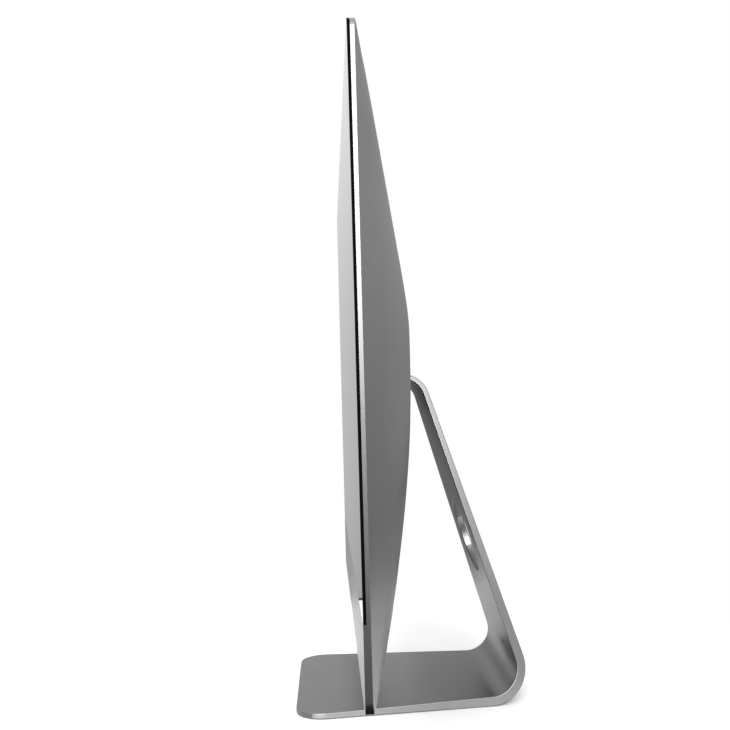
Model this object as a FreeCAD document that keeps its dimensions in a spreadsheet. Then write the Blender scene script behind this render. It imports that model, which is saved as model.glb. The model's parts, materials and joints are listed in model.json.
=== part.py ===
"""An all-in-one desktop computer, as separate pieces on a bent plate stand.

Frame: millimetres, +Z up, +X to the right of somebody who faces the screen, and the screen faces -Y.
The origin is on the desk, under the middle of the foot.
"""
import FreeCAD, Part
import math
import os
import re
import Sketcher
from FreeCAD import Placement, Rotation, Vector

doc = FreeCAD.newDocument("all_in_one_pc")

# ---------------------------------------------------------------------------
# Driving dimensions, in millimetres, degrees or plain ratios
# ---------------------------------------------------------------------------
SIZES = {
    # the display's outside
    "display_width": 650.0,
    "display_height": 447.6,
    "display_base": 68.4,           # desk to the lower edge
    "front_offset": 48.8,           # screen face ahead of the foot's middle
    "corner_radius": 9.0,
    "edge_depth": 5.0,
    "bulge_depth": 53.4,            # how far the back swells behind the thin edge
    "bulge_peak": 257.6,            # deepest point above the lower edge
    "bulge_side_power": 2.2,
    "bulge_lower_power": 2.6,
    "bulge_top_blend": 0.25,
    "bulge_corner_blend": 2.8,
    "skin": 1.8,
    "rim": 10.0,
    "floor_wall": 4.0,
    "chin_wall": 2.0,
    "chin_height": 57.6,
    "glass_thick": 1.9,
    "glass_gap": 0.3,
    "glue_thick": 0.3,
    "glue_width": 7.0,
    "ledge_depth": 1.5,
    "ledge_width": 8.0,
    # screen
    "panel_width": 606.0,
    "panel_tall": 344.0,
    "panel_low": 81.1,
    "panel_thick": 1.6,
    "tray_lip": 2.0,
    "tray_thick": 3.7,
    # stand
    "foot_depth": 203.0,
    "foot_width": 211.0,
    "foot_taper": 0.117,            # half-width lost per millimetre towards the back
    "arm_taper": 0.1596,            # half-width lost per millimetre of height
    "foot_corner": 24.0,
    "foot_front_thick": 4.3,
    "bend_thick": 7.9,
    "bend_radius": 31.5,
    "lean": 17.4,
    "neck_thick": 5.0,
    "neck_radius": 26.0,
    "neck_rise": 4.5,               # neck's top above the hinge axis
    "neck_reach": 9.0,              # neck's end in front of the hinge axis
    "stand_round": 0.9,
    "cable_hole_radius": 35.0,
    "cable_hole_height": 140.0,
    "pad_thick": 1.0,
    "pad_proud": 0.4,
    "pad_inset": 7.0,
    # hinge
    "hinge_height": 221.6,          # above the display's lower edge
    "hinge_depth": 44.0,            # behind the screen face
    "barrel_radius": 11.0,
    "barrel_half": 54.0,
    "pin_radius": 3.4,
    "pin_seat": 4.0,
    "pin_reach": 16.0,              # pin's end beyond the barrel's end
    "pin_play": 0.04,
    "bush_radius": 5.0,
    "bracket_gap": 2.0,
    "bracket_thick": 3.0,
    "bracket_tall": 28.0,
    "bracket_front": 28.0,
    "bracket_rear": 53.4,
    "flange_long": 21.0,
    "flange_thick": 2.4,
    "shroud_gap": 0.5,
    "shroud_wall": 1.5,
    "slot_half": 47.8,
    "slot_below": 6.0,
    "slot_above": 12.0,
    "side_play": 0.3,
    "neck_play": 0.1,
    "neck_relief": 1.0,             # lower lip of the barrel's slot, where the neck starts to bend
    # vent and cooling
    "vent_half": 54.0,
    "vent_low": 182.0,
    "vent_tall": 19.0,
    "vent_bar": 1.2,
    "vent_pitch": 3.6,
    "fin_front": 28.0,
    "fin_rear": 50.0,
    "fin_thick": 0.5,
    "fin_pitch": 2.6,
    "pipe_radius": 2.5,
    "pipe_bend": 14.0,
    "pipe_depth": 22.5,
    "fan_x": -134.0,
    "fan_height": 153.6,
    "fan_radius": 47.0,
    "fan_front": 24.0,
    "fan_thick": 14.0,
    "fan_wall": 1.2,
    "rotor_radius": 40.0,
    "hub_radius": 15.0,
    "blade_thick": 1.0,
    "blade_count": 29.0,
    "rotor_gap": 1.2,
    # memory
    "door_half": 75.0,
    "door_low": 114.6,
    "door_tall": 60.0,
    "door_corner": 6.0,
    "door_gap": 0.35,
    "door_thick": 1.5,
    "seat_width": 4.0,
    "seat_thick": 1.5,
    "cage_front": 26.0,
    "cage_rear": 41.0,
    "module_wide": 67.6,
    "module_tall": 50.0,
    "module_thick": 3.2,
    # boards
    "board_front": 12.0,
    "board_thick": 1.6,
    "board_left": 85.0,
    "board_low": 36.0,
    "board_step": 180.0,
    "board_top": 331.6,
    "board_side_gap": 63.0,
    "board_right_start": 84.0,
    "boss_radius": 3.0,
    "screw_radius": 1.2,
    "screw_play": 0.05,
    "screw_head": 2.8,
    "screw_head_thick": 1.6,
    # sockets along the back
    "port_height": 49.6,
    "port_side_gap": 67.0,
    "port_play": 0.2,
    "port_set_in": 0.4,
    "jack_radius": 1.75,
    "jack_body_radius": 3.5,
    "jack_front": 5.5,
    # inlet and release
    "inlet_wide": 30.0,
    "inlet_tall": 22.0,
    "inlet_height": 81.6,
    "inlet_wall": 2.0,
    "inlet_front": 15.0,
    "inlet_recess": 14.0,
    "release_height": 104.6,
    "release_wide": 9.0,
    "release_tall": 4.0,
    # power button
    "button_side_gap": 60.0,
    "button_height": 49.6,
    "button_radius": 6.0,
    "button_gap": 0.25,
    # drive, supply, speakers
    "drive_wide": 147.0,
    "drive_tall": 101.6,
    "drive_thick": 26.1,
    "drive_front": 8.4,
    "drive_low": 248.6,
    "supply_low": 219.6,
    "supply_tall": 132.0,
    "supply_front": 9.0,
    "supply_deep": 12.0,
    "supply_lip": 9.0,
    "speaker_long": 155.0,
    "speaker_tall": 26.0,
    "speaker_low": 11.6,
    "speaker_thick": 6.2,
    "speaker_front": 2.3,
    "speaker_side_gap": 40.0,
    "slot_wide": 1.6,
    "slot_long": 12.0,
    "slot_pitch": 16.0,
}

sheet = doc.addObject("Spreadsheet::Sheet", "Sizes")
for row, (alias, value) in enumerate(SIZES.items(), start=1):
    sheet.set("A%d" % row, alias)
    sheet.set("B%d" % row, repr(value))
    sheet.setAlias("B%d" % row, alias)
doc.recompute()

WORDS = re.compile(r"\b(%s)\b" % "|".join(SIZES))
AXES = {
    "X": Rotation(Vector(0, 1, 0), 90),
    "Y": Rotation(Vector(1, 0, 0), -90),
    "Z": Rotation(),
}
nodes = []


def size(alias):
    """The value that a spreadsheet cell holds."""
    return float(sheet.get(alias))


def linked(text):
    """An expression in which every alias points at the spreadsheet."""
    return WORDS.sub(r"Sizes.\1", text)


def number(text):
    """The value of an expression written with the spreadsheet's aliases."""
    return float(sheet.evalExpression(linked(text).replace("Sizes.", "")))


def behind(depth):
    """Y of a place that lies this far behind the screen face."""
    return "(%s) - front_offset" % depth


def above(height):
    """Z of a place that lies this far above the display's lower edge."""
    return "display_base + (%s)" % height


def place(item, x, y, z):
    for axis, text in zip("xyz", (x, y, z)):
        item.setExpression("Placement.Base." + axis, linked(text))
    return item


def keep(item, label):
    """Name a finished piece and put it on the list that is written out."""
    item.Label = label
    nodes.append(item)
    return item


# ---------------------------------------------------------------------------
# Plain solids and booleans
# ---------------------------------------------------------------------------
def box(wide, deep, tall, x, y, z):
    item = doc.addObject("Part::Box", "Block")
    for name, text in (("Length", wide), ("Width", deep), ("Height", tall)):
        item.setExpression(name, linked(text))
    return place(item, x, y, z)


def rod(radius, length, axis, x, y, z):
    """A cylinder that starts at the point and runs along the axis."""
    item = doc.addObject("Part::Cylinder", "Rod")
    item.Placement = Placement(Vector(), AXES[axis])
    item.setExpression("Radius", linked(radius))
    item.setExpression("Height", linked(length))
    return place(item, x, y, z)


def cut(base, tool):
    item = doc.addObject("Part::Cut", "Cut")
    item.Base = base
    item.Tool = tool
    return item


def fuse(*items):
    item = doc.addObject("Part::MultiFuse", "Fuse")
    item.Shapes = list(items)
    return item


def common(*items):
    item = doc.addObject("Part::MultiCommon", "Common")
    item.Shapes = list(items)
    return item


def group(*items):
    item = doc.addObject("Part::Compound", "Group")
    item.Links = list(items)
    return item


def ring(outer, inner, length, axis, x, y, z):
    return cut(rod(outer, length, axis, x, y, z), rod(inner, length, axis, x, y, z))


# ---------------------------------------------------------------------------
# Bodies with sketches
# ---------------------------------------------------------------------------
def new_body():
    return doc.addObject("PartDesign::Body", "Body")


def sketch_on(body, role):
    plane = next(item for item in body.Origin.OriginFeatures if item.Role == role)
    sketch = body.newObject("Sketcher::SketchObject", "Sketch")
    sketch.AttachmentSupport = [(plane, "")]
    sketch.MapMode = "FlatFace"
    return sketch


def bind(sketch, constraint, text):
    """Add a constraint whose value an expression drives."""
    index = sketch.addConstraint(constraint)
    sketch.setExpression("Constraints[%d]" % index, linked(text))


def polygon(sketch, points):
    """A closed outline whose corners are pairs of expressions."""
    spots = [Vector(number(x), number(y), 0) for x, y in points]
    count = len(points)
    first = sketch.GeometryCount
    for i in range(count):
        sketch.addGeometry(Part.LineSegment(spots[i], spots[(i + 1) % count]), False)
    for i in range(count):
        edge = first + i
        sketch.addConstraint(Sketcher.Constraint("Coincident", edge, 2, first + (i + 1) % count, 1))
    for i, (x, y) in enumerate(points):
        bind(sketch, Sketcher.Constraint("DistanceX", first + i, 1, spots[i].x), x)
        bind(sketch, Sketcher.Constraint("DistanceY", first + i, 1, spots[i].y), y)


def rounded(sketch, wide, tall, radius):
    """A rectangle with round corners, centred on the sketch's origin."""
    half_w, half_t, r = number(wide) / 2, number(tall) / 2, number(radius)
    corners = [(1, -1), (1, 1), (-1, 1), (-1, -1)]
    runs = [((-1, -1), (1, -1)), ((1, -1), (1, 1)), ((1, 1), (-1, 1)), ((-1, 1), (-1, -1))]
    normal = Vector(0, 0, 1)
    for i, ((ax, ay), (bx, by)) in enumerate(runs):
        level = i % 2 == 0
        inset = (r, 0) if level else (0, r)
        start = Vector(ax * (half_w - inset[0]), ay * (half_t - inset[1]), 0)
        end = Vector(bx * (half_w - inset[0]), by * (half_t - inset[1]), 0)
        sketch.addGeometry(Part.LineSegment(start, end), False)
    for i, (cx, cy) in enumerate(corners):
        centre = Vector(cx * (half_w - r), cy * (half_t - r), 0)
        begin = math.radians(-90 + 90 * i)
        circle = Part.Circle(centre, normal, r)
        sketch.addGeometry(Part.ArcOfCircle(circle, begin, begin + math.pi / 2), False)
    for i in range(4):
        sketch.addConstraint(Sketcher.Constraint("Tangent", i, 2, 4 + i, 1))
        sketch.addConstraint(Sketcher.Constraint("Tangent", 4 + i, 2, (i + 1) % 4, 1))
        kind = "Horizontal" if i % 2 == 0 else "Vertical"
        sketch.addConstraint(Sketcher.Constraint(kind, i))
    for i in range(1, 4):
        sketch.addConstraint(Sketcher.Constraint("Equal", 4, 4 + i))
    bind(sketch, Sketcher.Constraint("Radius", 4, r), radius)
    bind(sketch, Sketcher.Constraint("DistanceY", 0, 1, -half_t), "-(%s) / 2" % tall)
    bind(sketch, Sketcher.Constraint("DistanceY", 2, 1, half_t), "(%s) / 2" % tall)
    bind(sketch, Sketcher.Constraint("DistanceX", 1, 1, half_w), "(%s) / 2" % wide)
    bind(sketch, Sketcher.Constraint("DistanceX", 3, 1, -half_w), "-(%s) / 2" % wide)


def disc(sketch, radius, x="0", y="0"):
    spot = Vector(number(x), number(y), 0)
    index = sketch.addGeometry(Part.Circle(spot, Vector(0, 0, 1), number(radius)), False)
    bind(sketch, Sketcher.Constraint("Radius", index, number(radius)), radius)
    bind(sketch, Sketcher.Constraint("DistanceX", index, 3, spot.x), x)
    bind(sketch, Sketcher.Constraint("DistanceY", index, 3, spot.y), y)


def pad(body, sketch, length, reverse=False, middle=False):
    item = body.newObject("PartDesign::Pad", "Pad")
    item.Profile = sketch
    item.setExpression("Length", linked(length))
    item.Reversed = reverse
    item.Midplane = middle
    return item


def slab(wide, tall, radius, thick, x, y, z):
    """A round-cornered plate: its centre is at x and z, and it starts at y and runs back."""
    body = new_body()
    sketch = sketch_on(body, "XZ_Plane")
    rounded(sketch, wide, tall, radius)
    pad(body, sketch, thick, reverse=True)
    return place(body, x, y, z)


def plate(points, thick, y):
    """A flat plate whose outline is given in X and height above the display's lower edge."""
    body = new_body()
    sketch = sketch_on(body, "XZ_Plane")
    polygon(sketch, points)
    pad(body, sketch, thick, reverse=True)
    return place(body, "0", y, "display_base")


# ---------------------------------------------------------------------------
# The swollen back
# ---------------------------------------------------------------------------
def depth_at(x, height):
    """Distance from the screen face to the outer skin, which no sketch can draw.

    The swell falls off to both sides, to the top and to the lower edge, and a smooth minimum
    joins the two directions, so the thin edge keeps its depth all the way round.
    """
    across = 1 - min(abs(x) / (size("display_width") / 2), 1) ** size("bulge_side_power")
    peak = size("bulge_peak")
    if height > peak:
        reach = min((height - peak) / (size("display_height") - peak), 1)
        blend = size("bulge_top_blend")
        fall = (math.hypot(reach, blend) - blend) / (math.hypot(1, blend) - blend)
    else:
        fall = min((peak - height) / peak, 1) ** size("bulge_lower_power")
    power = size("bulge_corner_blend")
    across = max(across, 1e-6)
    along = max(1 - fall, 1e-6)
    share = (across ** -power + along ** -power - 1) ** (-1 / power)
    return size("edge_depth") + size("bulge_depth") * share


SKIN_ROWS = 41
SKIN_COLUMNS = 53


def space_under_skin(inset):
    """All the room ahead of the outer skin, moved forward by the inset."""
    half = size("display_width") / 2
    front = -size("front_offset")
    grid = []
    for i in range(SKIN_COLUMNS):
        x = -half + 2 * half * i / (SKIN_COLUMNS - 1)
        line = []
        for j in range(SKIN_ROWS):
            height = size("display_height") * j / (SKIN_ROWS - 1)
            y = front + depth_at(x, height) - inset
            line.append(Vector(x, y, size("display_base") + height))
        grid.append(line)
    surface = Part.BSplineSurface()
    surface.interpolate(grid)
    item = doc.addObject("Part::Feature", "SkinSpace")
    item.Shape = surface.toShape().extrude(Vector(0, -2 * size("bulge_depth") - size("edge_depth"), 0))
    return item


def between_skins(outer, inner):
    """The layer of the back between two insets from the outer skin."""
    return cut(space_under_skin(outer), space_under_skin(inner))


ALL_DEPTH = "2 * bulge_depth + edge_depth"
OUTER_SKIN = space_under_skin(0)
INNER_SKIN = space_under_skin(size("skin"))
SET_IN_SKIN = space_under_skin(size("port_set_in"))
HALF_SKIN = space_under_skin(size("skin") / 2)


def through(wide, tall, x, height):
    """A straight cutter that runs from inside the housing out through the back."""
    return box(wide, ALL_DEPTH, tall, "%s - (%s) / 2" % (x, wide), behind("board_front"),
               above("%s - (%s) / 2" % (height, tall)))


# ---------------------------------------------------------------------------
# Stand
# ---------------------------------------------------------------------------
HINGE_Y = behind("hinge_depth")
HINGE_Z = above("hinge_height")
PIN_START = "(barrel_half - pin_seat)"
BOLT_ROWS = ("-36", "-12", "12", "36")
SIDES = (-1, 1)


def stand_profile(sketch):
    """Side view of the bent plate, with its thickness tapering along the foot and the arm."""
    lean = math.radians(size("lean"))
    back, low = size("foot_depth") / 2, size("pad_proud")
    r_out = size("bend_radius")
    r_in = r_out - size("bend_thick")
    n_out = size("neck_radius")
    n_in = n_out - size("neck_thick")
    bend = Vector(back - r_out, low + r_out, 0)
    side = Vector(math.cos(lean), math.sin(lean), 0)
    top = number(HINGE_Z) + size("neck_rise")
    neck_z = top - n_out
    on_line = bend + side * r_out
    neck_y = on_line.x - (neck_z - on_line.y) * math.tan(lean) - n_out / math.cos(lean)
    neck = Vector(neck_y, neck_z, 0)
    end = number(HINGE_Y) - size("neck_reach")
    up, down = Vector(0, 1, 0), Vector(0, -1, 0)
    heel = Vector(-back, low, 0)
    toe = Vector(-back, low + size("foot_front_thick"), 0)
    normal = Vector(0, 0, 1)
    quarter = math.pi / 2

    def arc(centre, radius, start, stop):
        return Part.ArcOfCircle(Part.Circle(centre, normal, radius), start, stop)

    parts = [
        Part.LineSegment(heel, bend + down * r_out),
        arc(bend, r_out, -quarter, lean),
        Part.LineSegment(bend + side * r_out, neck + side * n_out),
        arc(neck, n_out, lean, quarter),
        Part.LineSegment(neck + up * n_out, Vector(end, top, 0)),
        Part.LineSegment(Vector(end, top, 0), Vector(end, top - size("neck_thick"), 0)),
        Part.LineSegment(Vector(end, top - size("neck_thick"), 0), neck + up * n_in),
        arc(neck, n_in, lean, quarter),
        Part.LineSegment(neck + side * n_in, bend + side * r_in),
        arc(bend, r_in, -quarter, lean),
        Part.LineSegment(bend + down * r_in, toe),
        Part.LineSegment(toe, heel),
    ]
    for item in parts:
        sketch.addGeometry(item, False)
    rule = Sketcher.Constraint
    joins = [
        rule("Tangent", 0, 2, 1, 1), rule("Tangent", 1, 2, 2, 1), rule("Tangent", 2, 2, 3, 1),
        rule("Tangent", 3, 2, 4, 1), rule("Coincident", 4, 2, 5, 1), rule("Coincident", 5, 2, 6, 1),
        rule("Tangent", 6, 2, 7, 2), rule("Tangent", 7, 1, 8, 1), rule("Tangent", 8, 2, 9, 2),
        rule("Tangent", 9, 1, 10, 1), rule("Coincident", 10, 2, 11, 1), rule("Coincident", 11, 2, 0, 1),
        rule("Horizontal", 0), rule("Horizontal", 4), rule("Vertical", 5), rule("Horizontal", 6),
        rule("Vertical", 11), rule("Coincident", 1, 3, 9, 3), rule("Coincident", 3, 3, 7, 3),
    ]
    for item in joins:
        sketch.addConstraint(item)
    bind(sketch, rule("DistanceX", 0, 1, -back), "-foot_depth / 2")
    bind(sketch, rule("DistanceY", 0, 1, low), "pad_proud")
    bind(sketch, rule("Radius", 1, r_out), "bend_radius")
    bind(sketch, rule("Radius", 9, r_in), "bend_radius - bend_thick")
    bind(sketch, rule("DistanceX", 1, 3, bend.x), "foot_depth / 2 - bend_radius")
    bind(sketch, rule("Radius", 3, n_out), "neck_radius")
    bind(sketch, rule("DistanceY", 5, 1, top), HINGE_Z + " + neck_rise")
    bind(sketch, rule("DistanceX", 5, 1, end), HINGE_Y + " - neck_reach")
    bind(sketch, rule("Distance", 5, size("neck_thick")), "neck_thick")
    bind(sketch, rule("Distance", 11, size("foot_front_thick")), "foot_front_thick")
    turned = math.pi / 2 + lean
    bind(sketch, rule("Angle", 0, 2, math.degrees(turned)), "1 deg * (90 + lean)")
    sketch.solve()


def half_width(y, z):
    """Half the stand's width at a place, as an expression."""
    return "foot_width / 2 - foot_taper * (foot_depth / 2 + (%s)) - arm_taper * (%s)" % (y, z)


def tapered_blank():
    """The plan outline of the plate's blank, drawn in towards the top, as a block with flat sides."""
    levels = ("-1", HINGE_Z + " + neck_radius")
    front, back = "-foot_depth / 2", "foot_depth / 2 + 1"
    rings = []
    for level in levels:
        wide, narrow = number(half_width(front, level)), number(half_width(back, level))
        y0, y1, z = number(front), number(back), number(level)
        rings.append([Vector(-wide, y0, z), Vector(wide, y0, z), Vector(narrow, y1, z),
                      Vector(-narrow, y1, z)])
    low, high = rings
    loops = [list(reversed(low)), high]
    for i in range(4):
        j = (i + 1) % 4
        loops.append([low[i], low[j], high[j], high[i]])
    faces = [Part.Face(Part.makePolygon(loop + loop[:1])) for loop in loops]
    item = doc.addObject("Part::Feature", "Blank")
    item.Shape = Part.Solid(Part.Shell(faces))
    return item


def edges_where(shape, test):
    return [i for i, edge in enumerate(shape.Edges, start=1) if test(edge)]


def fillet(base, radius, test):
    doc.recompute()
    item = doc.addObject("Part::Fillet", "Fillet")
    item.Base = base
    item.Edges = [(i, radius, radius) for i in edges_where(base.Shape, test)]
    return item


def make_stand():
    body = new_body()
    sketch = sketch_on(body, "YZ_Plane")
    stand_profile(sketch)
    pad(body, sketch, "foot_width + 2", middle=True)
    front = -size("foot_depth") / 2
    neck_end = number(HINGE_Y) - size("neck_reach")

    def front_corner(edge):
        return edge.BoundBox.YMax < front + 0.1 and edge.BoundBox.ZLength > 2 * size("bend_radius")

    def long_rim(edge):
        """Everything but the short uprights, the neck's hidden end and the lines across a bend."""
        spot = edge.BoundBox
        across = spot.YLength < 0.01 and spot.ZLength < 0.01
        at_toe = spot.YMax < front + 0.1
        short = edge.Length < size("bend_thick")
        hidden = spot.YMax < neck_end + 0.1 and not at_toe
        return not short and not hidden and (at_toe or not across)

    def hole_rim(edge):
        spot = edge.BoundBox
        inside = max(abs(spot.XMin), abs(spot.XMax)) < size("cable_hole_radius") + 1
        return inside and edge.Length > size("cable_hole_radius")

    bent = common(body, fillet(tapered_blank(), size("foot_corner"), front_corner))
    softened = fillet(bent, size("stand_round"), long_rim)
    reach = "2 * bend_radius"
    lean = "lean * 1 deg"
    face_y = "foot_depth / 2 - bend_radius * (1 - cos(%s))" % lean
    face_z = "pad_proud + bend_radius * (1 + sin(%s))" % lean
    arm_y = "%s - (cable_hole_height - (%s)) * tan(%s)" % (face_y, face_z, lean)
    hole = rod("cable_hole_radius", "2 * (%s)" % reach, "Y", "0",
               arm_y + " - (%s) * cos(%s)" % (reach, lean),
               "cable_hole_height - (%s) * sin(%s)" % (reach, lean))
    hole.Placement = Placement(Vector(), Rotation(Vector(1, 0, 0), size("lean") - 90))
    holed = fillet(cut(softened, hole), size("stand_round"), hole_rim)
    seat = pad_blank("pad_inset - neck_play", "pad_thick")
    bolts = [rod("screw_radius", "3 * neck_thick", "Z", x, HINGE_Y, HINGE_Z + " - neck_thick")
             for x in BOLT_ROWS]
    keep(cut(holed, fuse(seat, *bolts)), "stand")


def pad_blank(inset, thick):
    """The pad's outline under the foot's flat part, which stands on the desk."""
    body = new_body()
    sketch = sketch_on(body, "XY_Plane")
    front = "-foot_depth / 2 + foot_corner / 2 + (%s)" % inset
    back = "foot_depth / 2 - bend_radius - (%s)" % inset
    wide, narrow = ["%s - (%s)" % (half_width(y, "0"), inset) for y in (front, back)]
    polygon(sketch, [("-(%s)" % wide, front), (wide, front), (narrow, back), ("-(%s)" % narrow, back)])
    pad(body, sketch, thick)
    return body


def make_foot_pad():
    return keep(pad_blank("pad_inset", "pad_thick"), "foot_pad")


# ---------------------------------------------------------------------------
# Hinge between the arm and the display
# ---------------------------------------------------------------------------
def from_side(side, near, long):
    """Where a piece starts in X when it reaches from near to near + long on one side."""
    return near if side > 0 else "-(%s) - (%s)" % (near, long)


def neck_slot_tool():
    """The barrel's slot for the neck, open to the rear and relieved under the bend."""
    low = HINGE_Z + " + neck_rise - neck_thick - neck_play"
    half = "(%s + neck_play)" % half_width(HINGE_Y + " - neck_reach", low)
    slot = box("2 * " + half, "neck_reach + barrel_radius + 1", "neck_thick + 2 * neck_play", "-" + half,
               HINGE_Y + " - neck_reach - neck_play", low)
    relief = box("2 * " + half, "barrel_radius", "neck_relief", "-" + half,
                 HINGE_Y + " + barrel_radius / 2",
                 low + " - neck_relief")
    return fuse(slot, relief)


def make_hinge_barrel():
    barrel = rod("barrel_radius", "2 * barrel_half", "X", "-barrel_half", HINGE_Y, HINGE_Z)
    tools = [neck_slot_tool()]
    for side in SIDES:
        tools.append(rod("pin_radius", "pin_seat", "X", from_side(side, PIN_START, "pin_seat"),
                         HINGE_Y, HINGE_Z))
    for x in BOLT_ROWS:
        tools.append(rod("screw_radius", "barrel_radius + neck_rise", "Z", x, HINGE_Y,
                         HINGE_Z + " - barrel_radius / 2"))
        tools.append(rod("screw_head", "barrel_radius", "Z", x, HINGE_Y,
                         HINGE_Z + " + neck_rise + neck_play"))
    keep(cut(barrel, fuse(*tools)), "hinge_barrel")
    bolts = []
    for x in BOLT_ROWS:
        head = rod("screw_head - screw_play", "screw_head_thick", "Z", x, HINGE_Y,
                   HINGE_Z + " + neck_rise + neck_play")
        shank_low = HINGE_Z + " + neck_rise - neck_thick - neck_play"
        shank = rod("screw_radius - screw_play", "neck_thick + 2 * neck_play", "Z", x, HINGE_Y, shank_low)
        bolts.append(fuse(head, shank))
    keep(group(*bolts), "neck_bolts")


def make_hinge_pins():
    long = "pin_seat + pin_reach"
    pins = [rod("pin_radius", long, "X", from_side(side, PIN_START, long), HINGE_Y, HINGE_Z)
            for side in SIDES]
    keep(group(*pins), "hinge_pins")


def make_hinge_washers():
    discs = []
    for side in SIDES:
        gap = "bracket_gap - 2 * neck_play"
        discs.append(ring("bush_radius + 1", "pin_radius", gap, "X",
                          from_side(side, "barrel_half + neck_play", gap), HINGE_Y, HINGE_Z))
        outer = "barrel_half + bracket_gap + bracket_thick + 2 * neck_play"
        discs.append(ring("bush_radius + 1", "pin_radius", "bracket_thick", "X",
                          from_side(side, outer, "bracket_thick"), HINGE_Y, HINGE_Z))
    keep(group(*discs), "friction_washers")
    nuts = []
    for side in SIDES:
        start = "barrel_half + bracket_gap + 2 * bracket_thick + 3 * neck_play"
        body = new_body()
        sketch = sketch_on(body, "YZ_Plane")
        flat = "bush_radius + 1"
        corners = []
        for i in range(6):
            turn = "(%d * 60 + 30) * 1 deg" % i
            corners.append(("(%s) * cos(%s)" % (flat, turn), "(%s) * sin(%s)" % (flat, turn)))
        polygon(sketch, corners)
        disc(sketch, "pin_radius")
        pad(body, sketch, "bracket_thick")
        place(body, from_side(side, start, "bracket_thick"), HINGE_Y, HINGE_Z)
        nuts.append(body)
    keep(group(*nuts), "hinge_nuts")


def make_hinge_brackets():
    bushes, screws = [], []
    web_x = "barrel_half + bracket_gap"
    tall, deep = "bracket_tall", "bracket_rear - bracket_front"
    for side, name in zip(SIDES, ("hinge_bracket_left", "hinge_bracket_right")):
        x = from_side(side, web_x, "bracket_thick")
        low = HINGE_Z + " - bracket_tall / 2"
        web = box("bracket_thick", deep, tall, x, behind("bracket_front"), low)
        flange_x = from_side(side, web_x, "flange_long + bracket_thick")
        flange = box("flange_long + bracket_thick", "flange_thick", tall, flange_x,
                     behind("bracket_rear - flange_thick"), low)
        tools = [rod("bush_radius", "bracket_thick", "X", x, HINGE_Y, HINGE_Z)]
        for x_text, z_text in flange_holes(side):
            tools.append(rod("screw_radius", "2 * flange_thick", "Y", x_text,
                             behind("bracket_rear - 1.5 * flange_thick"), z_text))
            head_y = behind("bracket_rear - flange_thick - screw_head_thick")
            head = rod("screw_head", "screw_head_thick", "Y", x_text, head_y, z_text)
            shank = rod("screw_radius - screw_play", "screw_head_thick + flange_thick", "Y", x_text,
                        head_y, z_text)
            screws.append(fuse(head, shank))
        keep(cut(fuse(web, flange), fuse(*tools)), name)
        bushes.append(ring("bush_radius", "pin_radius + pin_play", "bracket_thick", "X", x, HINGE_Y,
                           HINGE_Z))
    keep(group(*bushes), "hinge_bushes")
    keep(group(*screws), "bracket_screws")


def flange_holes(side):
    """X and Z of the screws that hold one bracket to the housing."""
    x = "%d * (barrel_half + bracket_gap + bracket_thick + flange_long * 2 / 3)" % side
    return [(x, HINGE_Z + " + %d * bracket_tall / 3" % row) for row in SIDES]


def make_hinge_shroud():
    """A trough round the barrel that closes the slot in the back at every tilt."""
    inner, outer = "barrel_radius + shroud_gap", "barrel_radius + shroud_gap + shroud_wall"
    long, start = "2 * slot_half", "-slot_half"
    tube = ring(outer, inner, long, "X", start, HINGE_Y, HINGE_Z)
    mouth = box("2 * slot_half", "2 * barrel_radius", "slot_below + slot_above", start,
                HINGE_Y, HINGE_Z + " - slot_below")
    lips = []
    for z in (HINGE_Z + " + slot_above", HINGE_Z + " - slot_below - shroud_wall"):
        lips.append(box(long, "barrel_radius + shroud_wall", "shroud_wall", start, HINGE_Y, z))
    clear = rod(inner, long, "X", start, HINGE_Y, HINGE_Z)
    trough = cut(fuse(tube, *lips), fuse(clear, mouth))
    lined = common(trough, space_under_skin(size("skin") + size("side_play")))
    keep(lined, "hinge_shroud")


# ---------------------------------------------------------------------------
# Housing
# ---------------------------------------------------------------------------
GLASS_TALL = "display_height - chin_height"
SPEAKER_SLOT_START = "64"
SLOTS_EACH_SIDE = 14


def board_bosses():
    """X and height of the posts that carry the main board."""
    right = "display_width / 2 - board_side_gap - 2 * boss_radius"
    return [("-board_left + 5", "board_low + 5"), ("-board_left + 5", "board_step - 5"),
            (right, "board_low + 5"), (right, "board_top - 6"),
            ("board_right_start + 6", "board_top - 6"), ("board_right_start + 6", "board_step - 65")]


def supply_left():
    return "-(display_width / 2 - board_side_gap)"


SUPPLY_RIGHT = "-(drive_wide / 2 + 22)"


def supply_bosses():
    spots = []
    for x in (supply_left() + " + 4", SUPPLY_RIGHT + " - 4"):
        for height in ("supply_low + 4", "supply_low + supply_tall - 4"):
            spots.append((x, height))
    return spots


def boss_post(x, height, start):
    return rod("boss_radius", ALL_DEPTH, "Y", x, behind(start), above(height))


def boss_bore(x, height, start):
    return rod("screw_radius", "5", "Y", x, behind(start), above(height))


def bracket_pads():
    """Flat pads inside the back that the hinge brackets are screwed to."""
    pads = []
    for side in SIDES:
        for x, z in flange_holes(side):
            pads.append(rod("boss_radius + 2", ALL_DEPTH, "Y", x, behind("bracket_rear"), z))
    return pads


def port_list():
    """Name, X, width, height and round flag of every socket along the back."""
    first = "display_width / 2 - port_side_gap"
    ports = [("card_slot", first + " - 23", "27", "4.4")]
    for i in range(4):
        ports.append(("data_sockets", first + " - %d" % (48 + 18 * i), "14.6", "6.8"))
    for i in range(2):
        ports.append(("link_sockets", first + " - %d" % (118 + 12 * i), "9", "6.4"))
    ports.append(("network_socket", first + " - 148", "17", "14.4"))
    return ports


JACK_X = "display_width / 2 - port_side_gap"
BUTTON_X = "-(display_width / 2 - button_side_gap)"


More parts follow.
